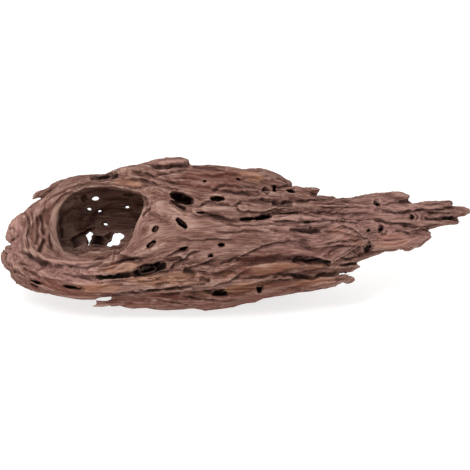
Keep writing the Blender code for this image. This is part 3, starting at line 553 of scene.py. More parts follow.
@dataclass(frozen=True)
class Log:
    """The log under the skin and the hollow in it, as stations in mm.

    Each row is x, middle up, middle deep, half height and half depth.
    """

    trunk: Rows = (
        (-205, 55, -9, 6, 8), (-200, 52, -8, 20, 22), (-188, 50, -8, 33, 35), (-172, 53, -8, 42, 44),
        (-157, 57, -9, 48, 50), (-139, 59, -10, 52, 54), (-110, 61, -13, 53, 56), (-88, 61, -16, 58, 58),
        (-60, 60, -19, 62, 60), (-30, 59, -20, 63, 61), (0, 59, -19, 59, 59), (30, 56, -17, 48, 53),
        (52, 56, -14, 43, 47), (75, 55, -10, 38, 41), (95, 62, -8, 31, 35), (112, 70, -6, 25, 28),
        (130, 72, -4, 24, 24), (150, 72, -2, 19.4, 18), (166, 75, 0, 12, 12), (182, 78, 1, 6, 6),
    )
    hollow: Rows = (
        (-168, 66, -10, 12, 14), (-160, 68, -11, 24, 28), (-146, 69.4, -11, 30, 38),
        (-122, 70, -12, 33.4, 43), (-96, 69, -14, 33.4, 44), (-70, 69.4, -16, 30, 40),
        (-46, 72, -18, 24, 30), (-26, 74, -20, 16, 20), (-14, 75, -21, 6, 8),
    )
    rows_per_span: int = 10
    hollow_start: Span = (-172, -164)
    hollow_end: Span = (-24, -12)
    hollow_front: Span = (-48, -38)
    wall_reach: Span = (1.08, 1.24)

    def sections(self, rows: Rows, x: np.ndarray) -> list[np.ndarray]:
        """Reads the stations at each x.

        Args:
            rows: the trunk's or the hollow's stations.
            x: places along the log, in mm.

        Returns:
            Middle up, middle deep, half height and half depth at each place.
        """
        curve = smooth_rows(rows, self.rows_per_span)
        return [np.interp(x, curve[:, 0], curve[:, column]) for column in (1, 2, 3, 4)]

    def inside_hollow(self, show: np.ndarray) -> np.ndarray:
        """How surely each point lies on the hollow's wall, from 0 to 1.

        Args:
            show: points of the show frame, in mm.

        Returns:
            A value from 0 to 1 for each point.
        """
        middle_up, middle_deep, half_up, half_deep = self.sections(self.hollow, show[:, 0])
        reach = np.hypot((show[:, 1] - middle_up) / half_up, (show[:, 2] - middle_deep) / half_deep)
        ends = step(show[:, 0], *self.hollow_start) * (1 - step(show[:, 0], *self.hollow_end))
        front = step(show[:, 2], *self.hollow_front)
        return (1 - step(reach, *self.wall_reach)) * ends * front


@dataclass(frozen=True)
class Grain:
    """The run of the grain: along the log, parting round the mouth and closing again behind it."""

    log: Log = Log()
    mouth_x: float = -121.0
    mouth_up: float = 74.0
    mouth_half_x: float = 38.0
    mouth_half_up: float = 29.0
    broad_end_x: float = -150.0
    full_radius: float = 58.0
    slimmest_radius: float = 8.0
    bend_deep: float = 6.0
    bend_fade: float = 24.0
    ring_reach: float = 1.3
    side_fade: Span = (-0.15, 0.15)
    level_fade: Span = (-0.25, 0.25)
    least_across: float = 1e-6

    def read(self, show: np.ndarray) -> tuple[list[np.ndarray], np.ndarray]:
        """Reads the grain at each point of the show frame.

        Left of the mouth the readings above and below it meet, so both are given.

        Args:
            show: points of the show frame, in mm.

        Returns:
            Two readings of the distance along the grain, across it and into the wood, in mm, and
            the weight of the first.
        """
        x, up, deep = show.T
        middle_up, middle_deep, half_up, half_deep = self.log.sections(
            self.log.trunk, np.maximum(x, self.broad_end_x)
        )
        across = (up - self.mouth_up) / self.mouth_half_up
        along = (x - self.mouth_x) / self.mouth_half_x
        reach = np.maximum(np.hypot(across, along), 1.0)
        parted_right = across * (1 - 1 / reach**2)
        parted_left = reach - 1 / reach
        left = step(-along, *self.side_fade)
        shallow = step(middle_deep + self.bend_deep - deep, 0, self.bend_fade)
        turn = np.arctan2(np.maximum(-along, 0), np.abs(across) + self.least_across)
        radius = np.maximum(np.sqrt(half_up * half_deep), self.slimmest_radius)
        slim = np.sqrt(self.full_radius / radius)
        readings = []
        for side in (1.0, -1.0):
            parted = parted_right * (1 - left) + side * parted_left * left
            bent = self.mouth_up + self.mouth_half_up * parted
            level = up * (1 - shallow) + bent * shallow
            ringed = self.mouth_x - self.ring_reach * self.mouth_half_x * turn
            length = x + (ringed - x) * left * shallow
            readings.append(
                np.column_stack([length, (level - middle_up) * slim, (deep - middle_deep) * slim])
            )
        return readings, step(across / reach, *self.level_fade)

    def noise(self, show: np.ndarray, length: float, width: float, seed: int) -> np.ndarray:
        """Noise drawn out along the grain, from -1 to 1, with its length and width in mm.

        Args:
            show: points of the show frame, in mm.
            length: size of the noise along the grain, in mm.
            width: its size across the grain, in mm.
            seed: which of the patterns to read.

        Returns:
            A value from -1 to 1 for each point.
        """
        readings, weight = self.read(show)
        scale = np.array([length, width, width])
        upper = lattice_noise(readings[0] / scale, seed)
        lower = lattice_noise(readings[1] / scale, seed)
        return upper * weight + lower * (1 - weight)


@dataclass(frozen=True)
class Fibres:
    """The weathered relief of every side: layers that lift, fibres, long checks and frayed ends.

    Each pattern starts with its length along the grain and width across it in mm, and a seed. A
    layer pattern then has how many layers it makes and their height, a rib pattern its height, and
    a check pattern its depth, in mm. A worn patch is its x, up, half x and half up.
    """

    grain: Grain = Grain()
    layers: tuple[tuple[float, float, int, float, float], ...] = (
        (120, 17, 3, 2.6, 1.2),
        (76, 9, 17, 2.2, 0.65),
    )
    ribs: tuple[tuple[float, float, int, float], ...] = (
        (120, 5.6, 41, 1.2),
        (80, 3.0, 43, 0.75),
        (50, 1.9, 47, 0.4),
    )
    checks: tuple[tuple[float, float, int, float], ...] = (
        (160, 17, 61, 2.0),
        (110, 9, 67, 1.2),
    )
    layer_gate: tuple[float, float, int] = (46, 13, 5)
    layer_open: Span = (-0.45, 0.35)
    layer_edge: Span = (0.86, 1.0)
    layer_middle: float = 0.45
    rib_middle: float = 0.45
    rib_roundness: float = 0.7
    check_gate: tuple[float, float, int] = (70, 18, 71)
    check_open: Span = (0.0, 0.35)
    check_width: float = 0.06
    worn: tuple[tuple[float, float, float, float], ...] = (
        (-45, 66, 40, 20), (-5, 60, 38, 12), (-62, 84, 18, 14), (-90, 66, 10, 16), (-171, 68, 17, 38),
        (-160, 42, 26, 10), (-120, 36, 34, 8), (166, 77, 12, 6), (164, 59, 16, 9),
    )
    worn_share: float = 0.78
    worn_front: Span = (-4, 22)
    worn_fade: Span = (0.5, 1.15)

    def smoothness(self, show: np.ndarray) -> np.ndarray:
        """How far each point of the show face is worn smooth, from 0 to 1.

        Args:
            show: points of the show frame, in mm.

        Returns:
            A value from 0 to 1 for each point.
        """
        smooth = np.zeros(len(show))
        front = step(-show[:, 2], *self.worn_front)
        for x, up, half_x, half_up in self.worn:
            away = np.hypot((show[:, 0] - x) / half_x, (show[:, 1] - up) / half_up)
            smooth = np.maximum(smooth, (1 - step(away, *self.worn_fade)) * front)
        return smooth

    def terrace(self, show: np.ndarray, length: float, width: float, seed: int, count: float) -> np.ndarray:
        """Layers lifting slowly and ending in an edge, from 0 to 1 over each layer.

        Args:
            show: points of the show frame, in mm.
            length: size of the pattern along the grain, in mm.
            width: size of the pattern across the grain, in mm.
            seed: which of the patterns to read.
            count: how many layers lie between the pattern's lowest and its middle.

        Returns:
            The height within its layer at each point.
        """
        field_value = count * (self.grain.noise(show, length, width, seed) + 1)
        part = field_value - np.floor(field_value)
        return part * (1 - step(part, *self.layer_edge))

    def height(self, show: np.ndarray) -> np.ndarray:
        """Height of the relief at each point of the show frame, in mm.

        Args:
            show: points of the show frame, in mm.

        Returns:
            The height at each point, in mm.
        """
        raised = np.zeros(len(show))
        gate = step(self.grain.noise(show, *self.layer_gate), *self.layer_open)
        for length, width, seed, count, height in self.layers:
            raised += height * gate * (self.terrace(show, length, width, seed, count) - self.layer_middle)
        for length, width, seed, height in self.ribs:
            ridge = np.abs(self.grain.noise(show, length, width, seed)) ** self.rib_roundness
            raised += height * (self.rib_middle - ridge)
        open_check = step(self.grain.noise(show, *self.check_gate), *self.check_open)
        for length, width, seed, depth in self.checks:
            line = self.grain.noise(show, length, width, seed) / self.check_width
            raised -= depth * open_check * np.exp(-(line**2))
        return raised * (1 - self.worn_share * self.smoothness(show))


@dataclass(frozen=True)
class ShowFace:
    """The cracks, grooves, ledges and dents that the show face carries.

    Distances in a stroke's section are in its half widths, and heights in its depth. A waver
    pattern is its size in mm and a seed.
    """

    lines: tuple[Stroke, ...] = UPPER_LINES + BODY_LINES + LOWER_LINES + TAIL_LINES + RING_LINES
    hollow_lines: tuple[Stroke, ...] = HOLLOW_LINES
    waver: float = 0.7
    waver_patterns: tuple[tuple[float, int], ...] = ((6, 7), (4, 8))
    rows_per_span: int = 5
    reach: float = 6.0
    taper_power: int = 5
    crack_rim: float = 0.16
    crack_rim_away: float = 2.2
    groove_power: int = 4
    lip_height: float = 0.55
    lip_reach: float = 1.6
    foot_depth: float = 0.85
    foot_reach: float = 1.5
    edge_fade: Span = (0.0, 0.25)

    def stroke_height(self, stroke: Stroke, flat: np.ndarray) -> np.ndarray:
        """Height that one stroke gives to points of the show face.

        Args:
            stroke: the stroke.
            flat: x and up of each point, in mm.

        Returns:
            The height at each point, in mm.
        """
        run = smooth_rows(stroke.points, self.rows_per_span)
        reach = self.reach * stroke.half
        low, high = run.min(axis=0) - reach, run.max(axis=0) + reach
        near = np.flatnonzero(((flat > low) & (flat < high)).all(axis=1))
        height = np.zeros(len(flat))
        if not len(near):
            return height
        at = flat[near] + self.waver * np.column_stack(
            [lattice_noise(flat[near] / size, seed) for size, seed in self.waver_patterns]
        )
        lengths = np.linalg.norm(np.diff(run, axis=0), axis=1)
        travelled = np.concatenate([[0], np.cumsum(lengths)])
        nearest = np.full(len(near), np.inf)
        side, place = np.zeros(len(near)), np.zeros(len(near))
        for first in range(len(run) - 1):
            way = (run[first + 1] - run[first]) / lengths[first]
            offset = at - run[first]
            along = np.clip(offset @ way, 0, lengths[first])
            away = np.linalg.norm(offset - along[:, None] * way, axis=1)
            closer = away < nearest
            nearest[closer] = away[closer]
            side[closer] = (way[0] * offset[:, 1] - way[1] * offset[:, 0])[closer]
            place[closer] = (travelled[first] + along[closer]) / travelled[-1]
        taper = 1 - np.abs(2 * place - 1) ** self.taper_power
        signed = nearest * np.sign(side)
        height[near] = stroke.depth * taper * self.profile(stroke, signed)
        return height

    def profile(self, stroke: Stroke, signed: np.ndarray) -> np.ndarray:
        """Section of a stroke at a signed distance from its line, for a depth of one.

        Args:
            stroke: the stroke.
            signed: distance from its line in mm, positive on the left of its run.

        Returns:
            The height at each distance, for a depth of one.
        """
        away = np.abs(signed) / stroke.half
        if stroke.kind is Cut.CRACK:
            return -np.exp(-(away**2)) + self.crack_rim * np.exp(-((away - self.crack_rim_away) ** 2))
        if stroke.kind is Cut.GROOVE:
            return -np.exp(-(away**self.groove_power))
        if stroke.kind is Cut.DENT:
            return -np.exp(-(away**2))
        lip = self.lip_height * np.exp(-away / self.lip_reach)
        foot = -self.foot_depth * np.exp(-(away / self.foot_reach) ** 2)
        return np.where(signed > 0, lip, foot) * step(away, *self.edge_fade)

    def height(self, show: np.ndarray, seen: np.ndarray, in_hollow: np.ndarray) -> np.ndarray:
        """Height of all strokes together at each point.

        Args:
            show: points of the show frame, in mm.
            seen: how squarely each point faces the viewer, 0 where something hides it.
            in_hollow: how surely each point lies on the hollow's wall.

        Returns:
            The height at each point, in mm.
        """
        flat = show[:, :2]
        outside, inside = np.zeros(len(show)), np.zeros(len(show))
        for stroke in self.lines:
            outside += self.stroke_height(stroke, flat)
        for stroke in self.hollow_lines:
            inside += self.stroke_height(stroke, flat)
        return seen * (outside * (1 - in_hollow) + inside * in_hollow)


@dataclass(frozen=True)
class Bundle:
    """Where a bundle of slivers starts in the world, in metres, and its sizes in mm."""

    start: np.ndarray
    normal: np.ndarray
    length: float
    width: float
    slivers: int
    lift: float
    towards: int


@dataclass
class Slivers:
    """Slivers as they grow: the end of each in metres, its sizes in mm, and 1 for towards the tail."""

    points: np.ndarray
    normals: np.ndarray
    lengths: np.ndarray
    wides: np.ndarray
    lifts: np.ndarray
    turns: np.ndarray


@dataclass
class Splinters:
    """Torn layers and loose slivers of every side, which follow the grain over the surface.

    Sizes are in mm, and shares are of a sliver's own size. Where a sliver would leave the surface
    it runs on free, in short strides, and shrinks to nothing.
    """

    grain: Grain
    show_frame: ShowFrame
    flakes: tuple[Flake, ...] = FLAKES
    prongs: tuple[Prong, ...] = PRONGS
    loose_bundles: int = 230
    fewest_slivers: int = 1
    most_slivers: int = 4
    spacing: float = 1.5
    bundle_spread: float = 1.3
    bundle_lengths: Span = (14.0, 46.0)
    bundle_lifts: Span = (0.1, 0.9)
    tailward_share: float = 0.7
    stagger: Span = (0.0, 0.3)
    length_shares: Span = (0.6, 1.0)
    width_shares: Span = (0.55, 0.8)
    lift_shares: Span = (0.6, 1.2)
    half_thickness: float = 0.75
    least_half: float = 0.12
    blunt_root: float = 0.12
    fullness: float = 0.7
    root_sink: float = 0.25
    run_rise: float = 0.3
    stations: int = 10
    sides: int = 8
    probe: float = 0.8
    prong_root: float = 0.4
    prong_tip_half: float = 0.3
    prong_fullness: float = 0.8
    prong_sink: float = 0.6
    free_stride: float = 0.35
    free_shrink: float = 0.5
    least_progress: float = 0.6
    least_turn: float = 0.3
    seed: int = 31

    def angles(self) -> np.ndarray:
        """Angle of each corner round a ring."""
        return np.arange(self.sides) * 2 * math.pi / self.sides

    def way(self, points: np.ndarray, normals: np.ndarray) -> np.ndarray:
        """Direction of the grain along the surface, towards the tail, at world points in metres.

        Args:
            points: places on the surface, in metres.
            normals: the surface's normals there.

        Returns:
            A direction of length one for each place.
        """
        rise = []
        for axis in np.eye(3) * self.probe * MM:
            ahead = self.grain.read(self.show_frame.to_show(points + axis))[0][0][:, 0]
            behind = self.grain.read(self.show_frame.to_show(points - axis))[0][0][:, 0]
            rise.append(ahead - behind)
        way = np.column_stack(rise)
        way -= (way * normals).sum(axis=1)[:, None] * normals
        return way / np.maximum(np.linalg.norm(way, axis=1), TINY)[:, None]

    def loose(
        self, points: np.ndarray, normals: np.ndarray, keep: np.ndarray, draw: np.random.Generator
    ) -> list[Bundle]:
        """Draws the loose bundles over the whole surface.

        Args:
            points: the surface's points, in metres.
            normals: their normals.
            keep: how likely a bundle may start at each point.
            draw: the seeded source of random numbers.

        Returns:
            The bundles.
        """
        chosen = draw.choice(len(points), self.loose_bundles, replace=False, p=keep / keep.sum())
        bundles = []
        for index in chosen:
            slivers = int(draw.integers(self.fewest_slivers, self.most_slivers + 1))
            length = draw.uniform(*self.bundle_lengths)
            width = slivers * self.spacing * self.bundle_spread
            lift = draw.uniform(*self.bundle_lifts)
            towards = 1 if draw.random() < self.tailward_share else -1
            bundles.append(Bundle(points[index], normals[index], length, width, slivers, lift, towards))
        return bundles

    def placed(self, tree: BVHTree) -> list[Bundle]:
        """The torn layers that the show face has, each where the viewer sees it.

        Args:
            tree: the surface.

        Returns:
            A bundle for each layer that has wood behind it.
        """
        bundles = []
        for flake in self.flakes:
            hit, normal = self.show_frame.look(tree, flake.x, flake.up)
            if hit is not None:
                start = (np.array(hit), np.array(normal))
                bundles.append(
                    Bundle(*start, flake.length, flake.width, flake.slivers, flake.lift, flake.towards)
                )
        return bundles

    def pointed(self, tree: BVHTree) -> np.ndarray:
        """Lofts the prongs, each from behind its root out to its tip.

        Args:
            tree: the surface that the roots sit in.

        Returns:
            The rings of every prong: prong, station, side and coordinate, in metres.
        """
        round_cos, round_sin = np.cos(self.angles()), np.sin(self.angles())
        forms = []
        for prong in self.prongs:
            root, tip = np.array(prong.root), np.array(prong.tip)
            parts = np.linspace(-self.prong_root, 1, self.stations)
            deeps = []
            for part in parts:
                hit = self.show_frame.look(tree, *(root + part * (tip - root)))[0]
                if hit is not None:
                    deeps.append(self.show_frame.to_show(np.array([hit]))[0, 2])
                else:
                    deeps.append(deeps[-1] if deeps else 0.0)
            line = np.interp(parts, (parts[0], 1), (deeps[0], deeps[-1]))
            deeps = np.minimum(deeps, line) - prong.lift * np.clip(parts, 0, 1) ** 2
            run = (tip - root) / np.linalg.norm(tip - root)
            across = np.array([-run[1], run[0], 0.0])
            rings = []
            for part, deep in zip(parts, deeps):
                taper = (1 - max(part, 0) ** prong.fullness) ** self.prong_fullness
                wide = prong.half_width * taper + self.prong_tip_half
                thick = prong.half_thickness * taper + self.prong_tip_half
                centre = np.array([*(root + part * (tip - root)), deep + self.prong_sink * thick])
                ring = centre + wide * np.outer(round_cos, across) + thick * np.outer(round_sin, (0, 0, 1))
                rings.append([self.show_frame.to_world(tuple(corner))[:] for corner in ring])
            forms.append(rings)
        return np.array(forms)

    def build(
        self, points: np.ndarray, normals: np.ndarray, faces: list, keep: np.ndarray
    ) -> tuple[np.ndarray, list]:
        """Makes every sliver and prong as a closed form on the surface.

        Args:
            points: the surface's points, in metres.
            normals: their normals.
            faces: the surface's faces.
            keep: how likely a loose bundle may start at each point.

        Returns:
            The points and faces of all forms.
        """
        tree = BVHTree.FromPolygons(points.tolist(), faces)
        draw = np.random.default_rng(self.seed)
        rows = []
        for bundle in self.placed(tree) + self.loose(points, normals, keep, draw):
            way = self.way(bundle.start[None], bundle.normal[None])[0]
            across = np.cross(bundle.normal, way)
            for number in range(bundle.slivers):
                shift = (number - (bundle.slivers - 1) / 2) * bundle.width / bundle.slivers
                back = draw.uniform(*self.stagger) * bundle.length * bundle.towards
                begin = bundle.start + MM * shift * across - MM * back * way
                hit, out, _, _ = tree.find_nearest(begin)
                rows.append((
                    np.array(hit),
                    np.array(out),
                    bundle.length * draw.uniform(*self.length_shares),
                    bundle.width / bundle.slivers * draw.uniform(*self.width_shares),
                    bundle.lift * draw.uniform(*self.lift_shares),
                    bundle.towards,
                ))
        slivers = Slivers(*(np.array(column) for column in zip(*rows)))
        forms = np.concatenate([self.loft(tree, slivers), self.pointed(tree)])
        return forms.reshape(-1, 3), self.ring_faces(len(forms))

    def loft(self, tree: BVHTree, slivers: Slivers) -> np.ndarray:
        """Lofts all slivers at once, station by station along the grain.

        Args:
            tree: the surface to follow.
            slivers: the slivers at their roots, which move to their tips.

        Returns:
            The rings of every sliver: sliver, station, side and coordinate, in metres.
        """
        round_cos, round_sin = np.cos(self.angles()), np.sin(self.angles())
        free = np.zeros(len(slivers.points), int)
        strides = slivers.lengths * MM / (self.stations - 1)
        way = self.way(slivers.points, slivers.normals) * slivers.turns[:, None]
        rings = []
        for station in range(self.stations):
            part = station / (self.stations - 1)
            grown = min(1.0, self.blunt_root + (1 - self.blunt_root) * part)
            belly = math.sin(math.pi * grown) ** self.fullness
            shrink = np.where(free > 0, self.free_shrink**free, 1.0)
            wide = MM * np.maximum(slivers.wides * belly, self.least_half) * shrink
            thick = MM * max(self.half_thickness * belly, self.least_half) * shrink
            height = MM * (slivers.lifts * part**2 - self.root_sink + self.run_rise * part) * shrink
            across = np.cross(slivers.normals, way)
            centre = slivers.points + height[:, None] * slivers.normals
            rings.append(
                centre[:, None]
                + (wide[:, None] * round_cos)[:, :, None] * across[:, None]
                + (thick[:, None] * round_sin)[:, :, None] * slivers.normals[:, None]
            )
            fresh = self.way(slivers.points, slivers.normals) * slivers.turns[:, None]
            way = np.where(free[:, None] > 0, way, fresh)
            self.advance(tree, slivers, way, strides, free)
        return np.stack(rings, axis=1)

    def advance(
        self, tree: BVHTree, slivers: Slivers, way: np.ndarray, strides: np.ndarray, free: np.ndarray
    ) -> None:
        """Moves every sliver one stride on over the surface, or out into the air where it runs off.

        Args:
            tree: the surface to follow.
            slivers: the slivers, which are moved.
            way: direction of each.
            strides: stride of each, in metres.
            free: how many stations each has run free, which is counted on.
        """
        ahead = slivers.points + way * (strides * np.where(free > 0, self.free_stride, 1.0))[:, None]
        for index in np.flatnonzero(free == 0):
            hit, out, _, _ = tree.find_nearest(Vector(ahead[index]))
            travelled = (np.array(hit) - slivers.points[index]) @ way[index]
            turned = slivers.normals[index] @ np.array(out)
            if travelled < self.least_progress * strides[index] or turned < self.least_turn:
                ahead[index] = slivers.points[index] + way[index] * strides[index] * self.free_stride
                free[index] = 1
            else:
                ahead[index], slivers.normals[index] = hit, out
        slivers.points = ahead
        free[free > 0] += 1

    def ring_faces(self, forms: int) -> list:
        """Faces that close the rings of so many forms.

        Args:
            forms: how many forms there are.

        Returns:
            The corners of each face, as places in the list of all ring corners.
        """
        form_size = self.sides * self.stations
        faces = []
        for base in range(0, forms * form_size, form_size):
            last = base + form_size - self.sides
            for low in range(base, last, self.sides):
                high = low + self.sides
                for side in range(self.sides):
                    after = (side + 1) % self.sides
                    faces.append((low + side, low + after, high + after, high + side))
            faces.append(tuple(range(base, base + self.sides))[::-1])
            faces.append(tuple(range(last, base + form_size)))
        return faces


@dataclass
class WormBores:
    """The bores that worms and beetles left, cut clean through the smoothed wood. Sizes are in mm."""

    show_frame: ShowFrame
    face_bores: Rows = FACE_BORES
    through_bores: Rows = THROUGH_BORES
    slant: float = 0.35
    rough: float = 0.3
    rough_size: float = 2.4
    rough_seed: int = 23
    pointedness: float = 0.22
    pinch_reach: float = 1.02
    segments: int = 20
    rings: int = 12
    voxel: float = 0.45

    def form(
        self, centre: Vector, tilt: float, inward: Vector, halves: tuple[float, float, float]
    ) -> bmesh.types.BMesh:
        """Makes one bore, as an uneven ellipsoid.

        Args:
            centre: its middle, in metres.
            tilt: turn of its length on the show face, in degrees.
            inward: the way it leads into the wood.
            halves: half its length, width and depth, in mm.

        Returns:
            The bore, closed.
        """
        turn = math.radians(tilt)
        run = self.show_frame.turn((math.cos(turn), math.sin(turn), 0))
        inward = inward.normalized()
        across = inward.cross(run).normalized()
        axes = (across.cross(inward) * halves[0], across * halves[1], inward * halves[2])
        frame = Matrix(axes).transposed()
        body = bmesh.new()
        bmesh.ops.create_uvsphere(body, u_segments=self.segments, v_segments=self.rings, radius=1.0)
        for vertex in body.verts:
            pinch = (self.pinch_reach - abs(vertex.co.x)) ** self.pointedness
            vertex.co = (frame @ Vector((vertex.co.x, vertex.co.y * pinch, vertex.co.z * pinch))) * MM
        places = np.array([vertex.co[:] for vertex in body.verts]) / MM + np.array(centre) / MM
        swell = 1 + self.rough * lattice_noise(places / self.rough_size, self.rough_seed)
        for vertex, factor in zip(body.verts, swell):
            vertex.co = vertex.co * factor + centre
        return body

    def cutter(self, tree: BVHTree) -> bpy.types.Object:
        """Makes all bores as one object.

        Args:
            tree: the surface that the bores of the show face start from.

        Returns:
            The cutter, one closed skin for each bore or group of bores.
        """
        viewer = self.show_frame.to_viewer()
        forms = []
        for x, up, half_length, half_width, tilt, depth in self.face_bores:
            hit, normal = self.show_frame.look(tree, x, up)
            if hit is not None:
                forms.append((hit, tilt, -viewer - self.slant * normal, (half_length, half_width, depth)))
        for x, up, half_length, half_width, tilt, deep_from, deep_to in self.through_bores:
            middle = self.show_frame.to_world((x, up, (deep_from + deep_to) / 2))
            forms.append((middle, tilt, -viewer, (half_length, half_width, (deep_to - deep_from) / 2)))
        whole = bmesh.new()
        scrap = bpy.data.meshes.new("bore")
        for form in forms:
            body = self.form(*form)
            body.to_mesh(scrap)
            body.free()
            whole.from_mesh(scrap)
        bpy.data.meshes.remove(scrap)
        mesh = bpy.data.meshes.new("bores")
        bmesh.ops.recalc_face_normals(whole, faces=whole.faces)
        whole.to_mesh(mesh)
        whole.free()
        cutter = bpy.data.objects.new("bores", mesh)
        bpy.context.scene.collection.objects.link(cutter)
        fuse(cutter, self.voxel)
        return cutter


def mesh_values(mesh: bpy.types.Mesh, kind: str, name: str) -> np.ndarray:
    """Reads a vector of every vertex or normal of a mesh into rows.

    Args:
        mesh: the mesh.
        kind: its vertices or its vertex normals.
        name: the vector to read of each.

    Returns:
        The vectors, one row each.
    """
    items = getattr(mesh, kind)
    values = np.empty(len(items) * 3, np.float32)
    items.foreach_get(name, values)
    return values.reshape(-1, 3).astype(float)


def mesh_edges(mesh: bpy.types.Mesh) -> np.ndarray:
    """The two vertices of every edge of a mesh.

    Args:
        mesh: the mesh.

    Returns:
        A row of two vertex numbers for each edge.
    """
    ends = np.empty(len(mesh.edges) * 2, np.int32)
    mesh.edges.foreach_get("vertices", ends)
    return ends.reshape(-1, 2)


def surface_rows(mesh: bpy.types.Mesh) -> tuple[np.ndarray, np.ndarray]:
    """Points and normals of a mesh, one row for each vertex."""
    return mesh_values(mesh, "vertices", "co"), mesh_values(mesh, "vertex_normals", "vector")


def face_corners(mesh: bpy.types.Mesh) -> list[tuple[int, ...]]:
    """The vertices of every face of a mesh."""
    return [tuple(face.vertices) for face in mesh.polygons]


def move_points(mesh: bpy.types.Mesh, points: np.ndarray) -> None:
    """Moves every vertex of a mesh to its row."""
    mesh.vertices.foreach_set("co", points.astype(np.float32).ravel())
    mesh.update()


def apply_modifiers(piece: bpy.types.Object) -> None:
    """Replaces the object's mesh with what its modifiers make of it.

    Args:
        piece: the object.
    """
    bpy.context.view_layer.update()
    graph = bpy.context.evaluated_depsgraph_get()
    mesh = bpy.data.meshes.new_from_object(piece.evaluated_get(graph))
    old = piece.data
    piece.modifiers.clear()
    piece.data = mesh
    bpy.data.meshes.remove(old)


def fuse(piece: bpy.types.Object, voxel: float) -> None:
    """Fuses the object's overlapping forms into an even mesh of about one voxel, in mm.

    Args:
        piece: the object.
        voxel: size of the mesh's squares, in mm.
    """
    remesh = piece.modifiers.new("Even", "REMESH")
    remesh.mode = "VOXEL"
    remesh.voxel_size = voxel * MM
    remesh.adaptivity = 0.0
    apply_modifiers(piece)


def neighbour_mean(values: np.ndarray, edges: np.ndarray, rounds: int) -> np.ndarray:
    """Evens out a value over the mesh.

    Args:
        values: one row for each vertex.
        edges: the two vertices of each edge.
        rounds: how often each vertex takes the mean of its neighbours.

    Returns:
        The evened rows.
    """
    count = len(values)
    starts = np.concatenate([edges[:, 0], edges[:, 1]])
    ends = np.concatenate([edges[:, 1], edges[:, 0]])
    links = np.maximum(np.bincount(starts, minlength=count), 1)
    for _ in range(rounds):
        summed = np.column_stack(
            [np.bincount(starts, weights=column[ends], minlength=count) for column in values.T]
        )
        values = 0.5 * values + 0.5 * summed / links[:, None]
    return values


def drop_scraps(piece: bpy.types.Object) -> None:
    """Keeps only the largest body of the object's mesh.

    Args:
        piece: the object.
    """
    mesh = piece.data
    edges = mesh_edges(mesh)
    label = np.arange(len(mesh.vertices))
    while True:
        lowest = np.minimum(label[edges[:, 0]], label[edges[:, 1]])
        spread = label.copy()
        np.minimum.at(spread, edges[:, 0], lowest)
        np.minimum.at(spread, edges[:, 1], lowest)
        spread = spread[spread]
        if (spread == label).all():
            break
        label = spread
    scraps = np.flatnonzero(label != np.bincount(label).argmax())
    if not len(scraps):
        return
    body = bmesh.new()
    body.from_mesh(mesh)
    body.verts.ensure_lookup_table()
    bmesh.ops.delete(body, geom=[body.verts[index] for index in scraps], context="VERTS")
    body.to_mesh(mesh)
    body.free()


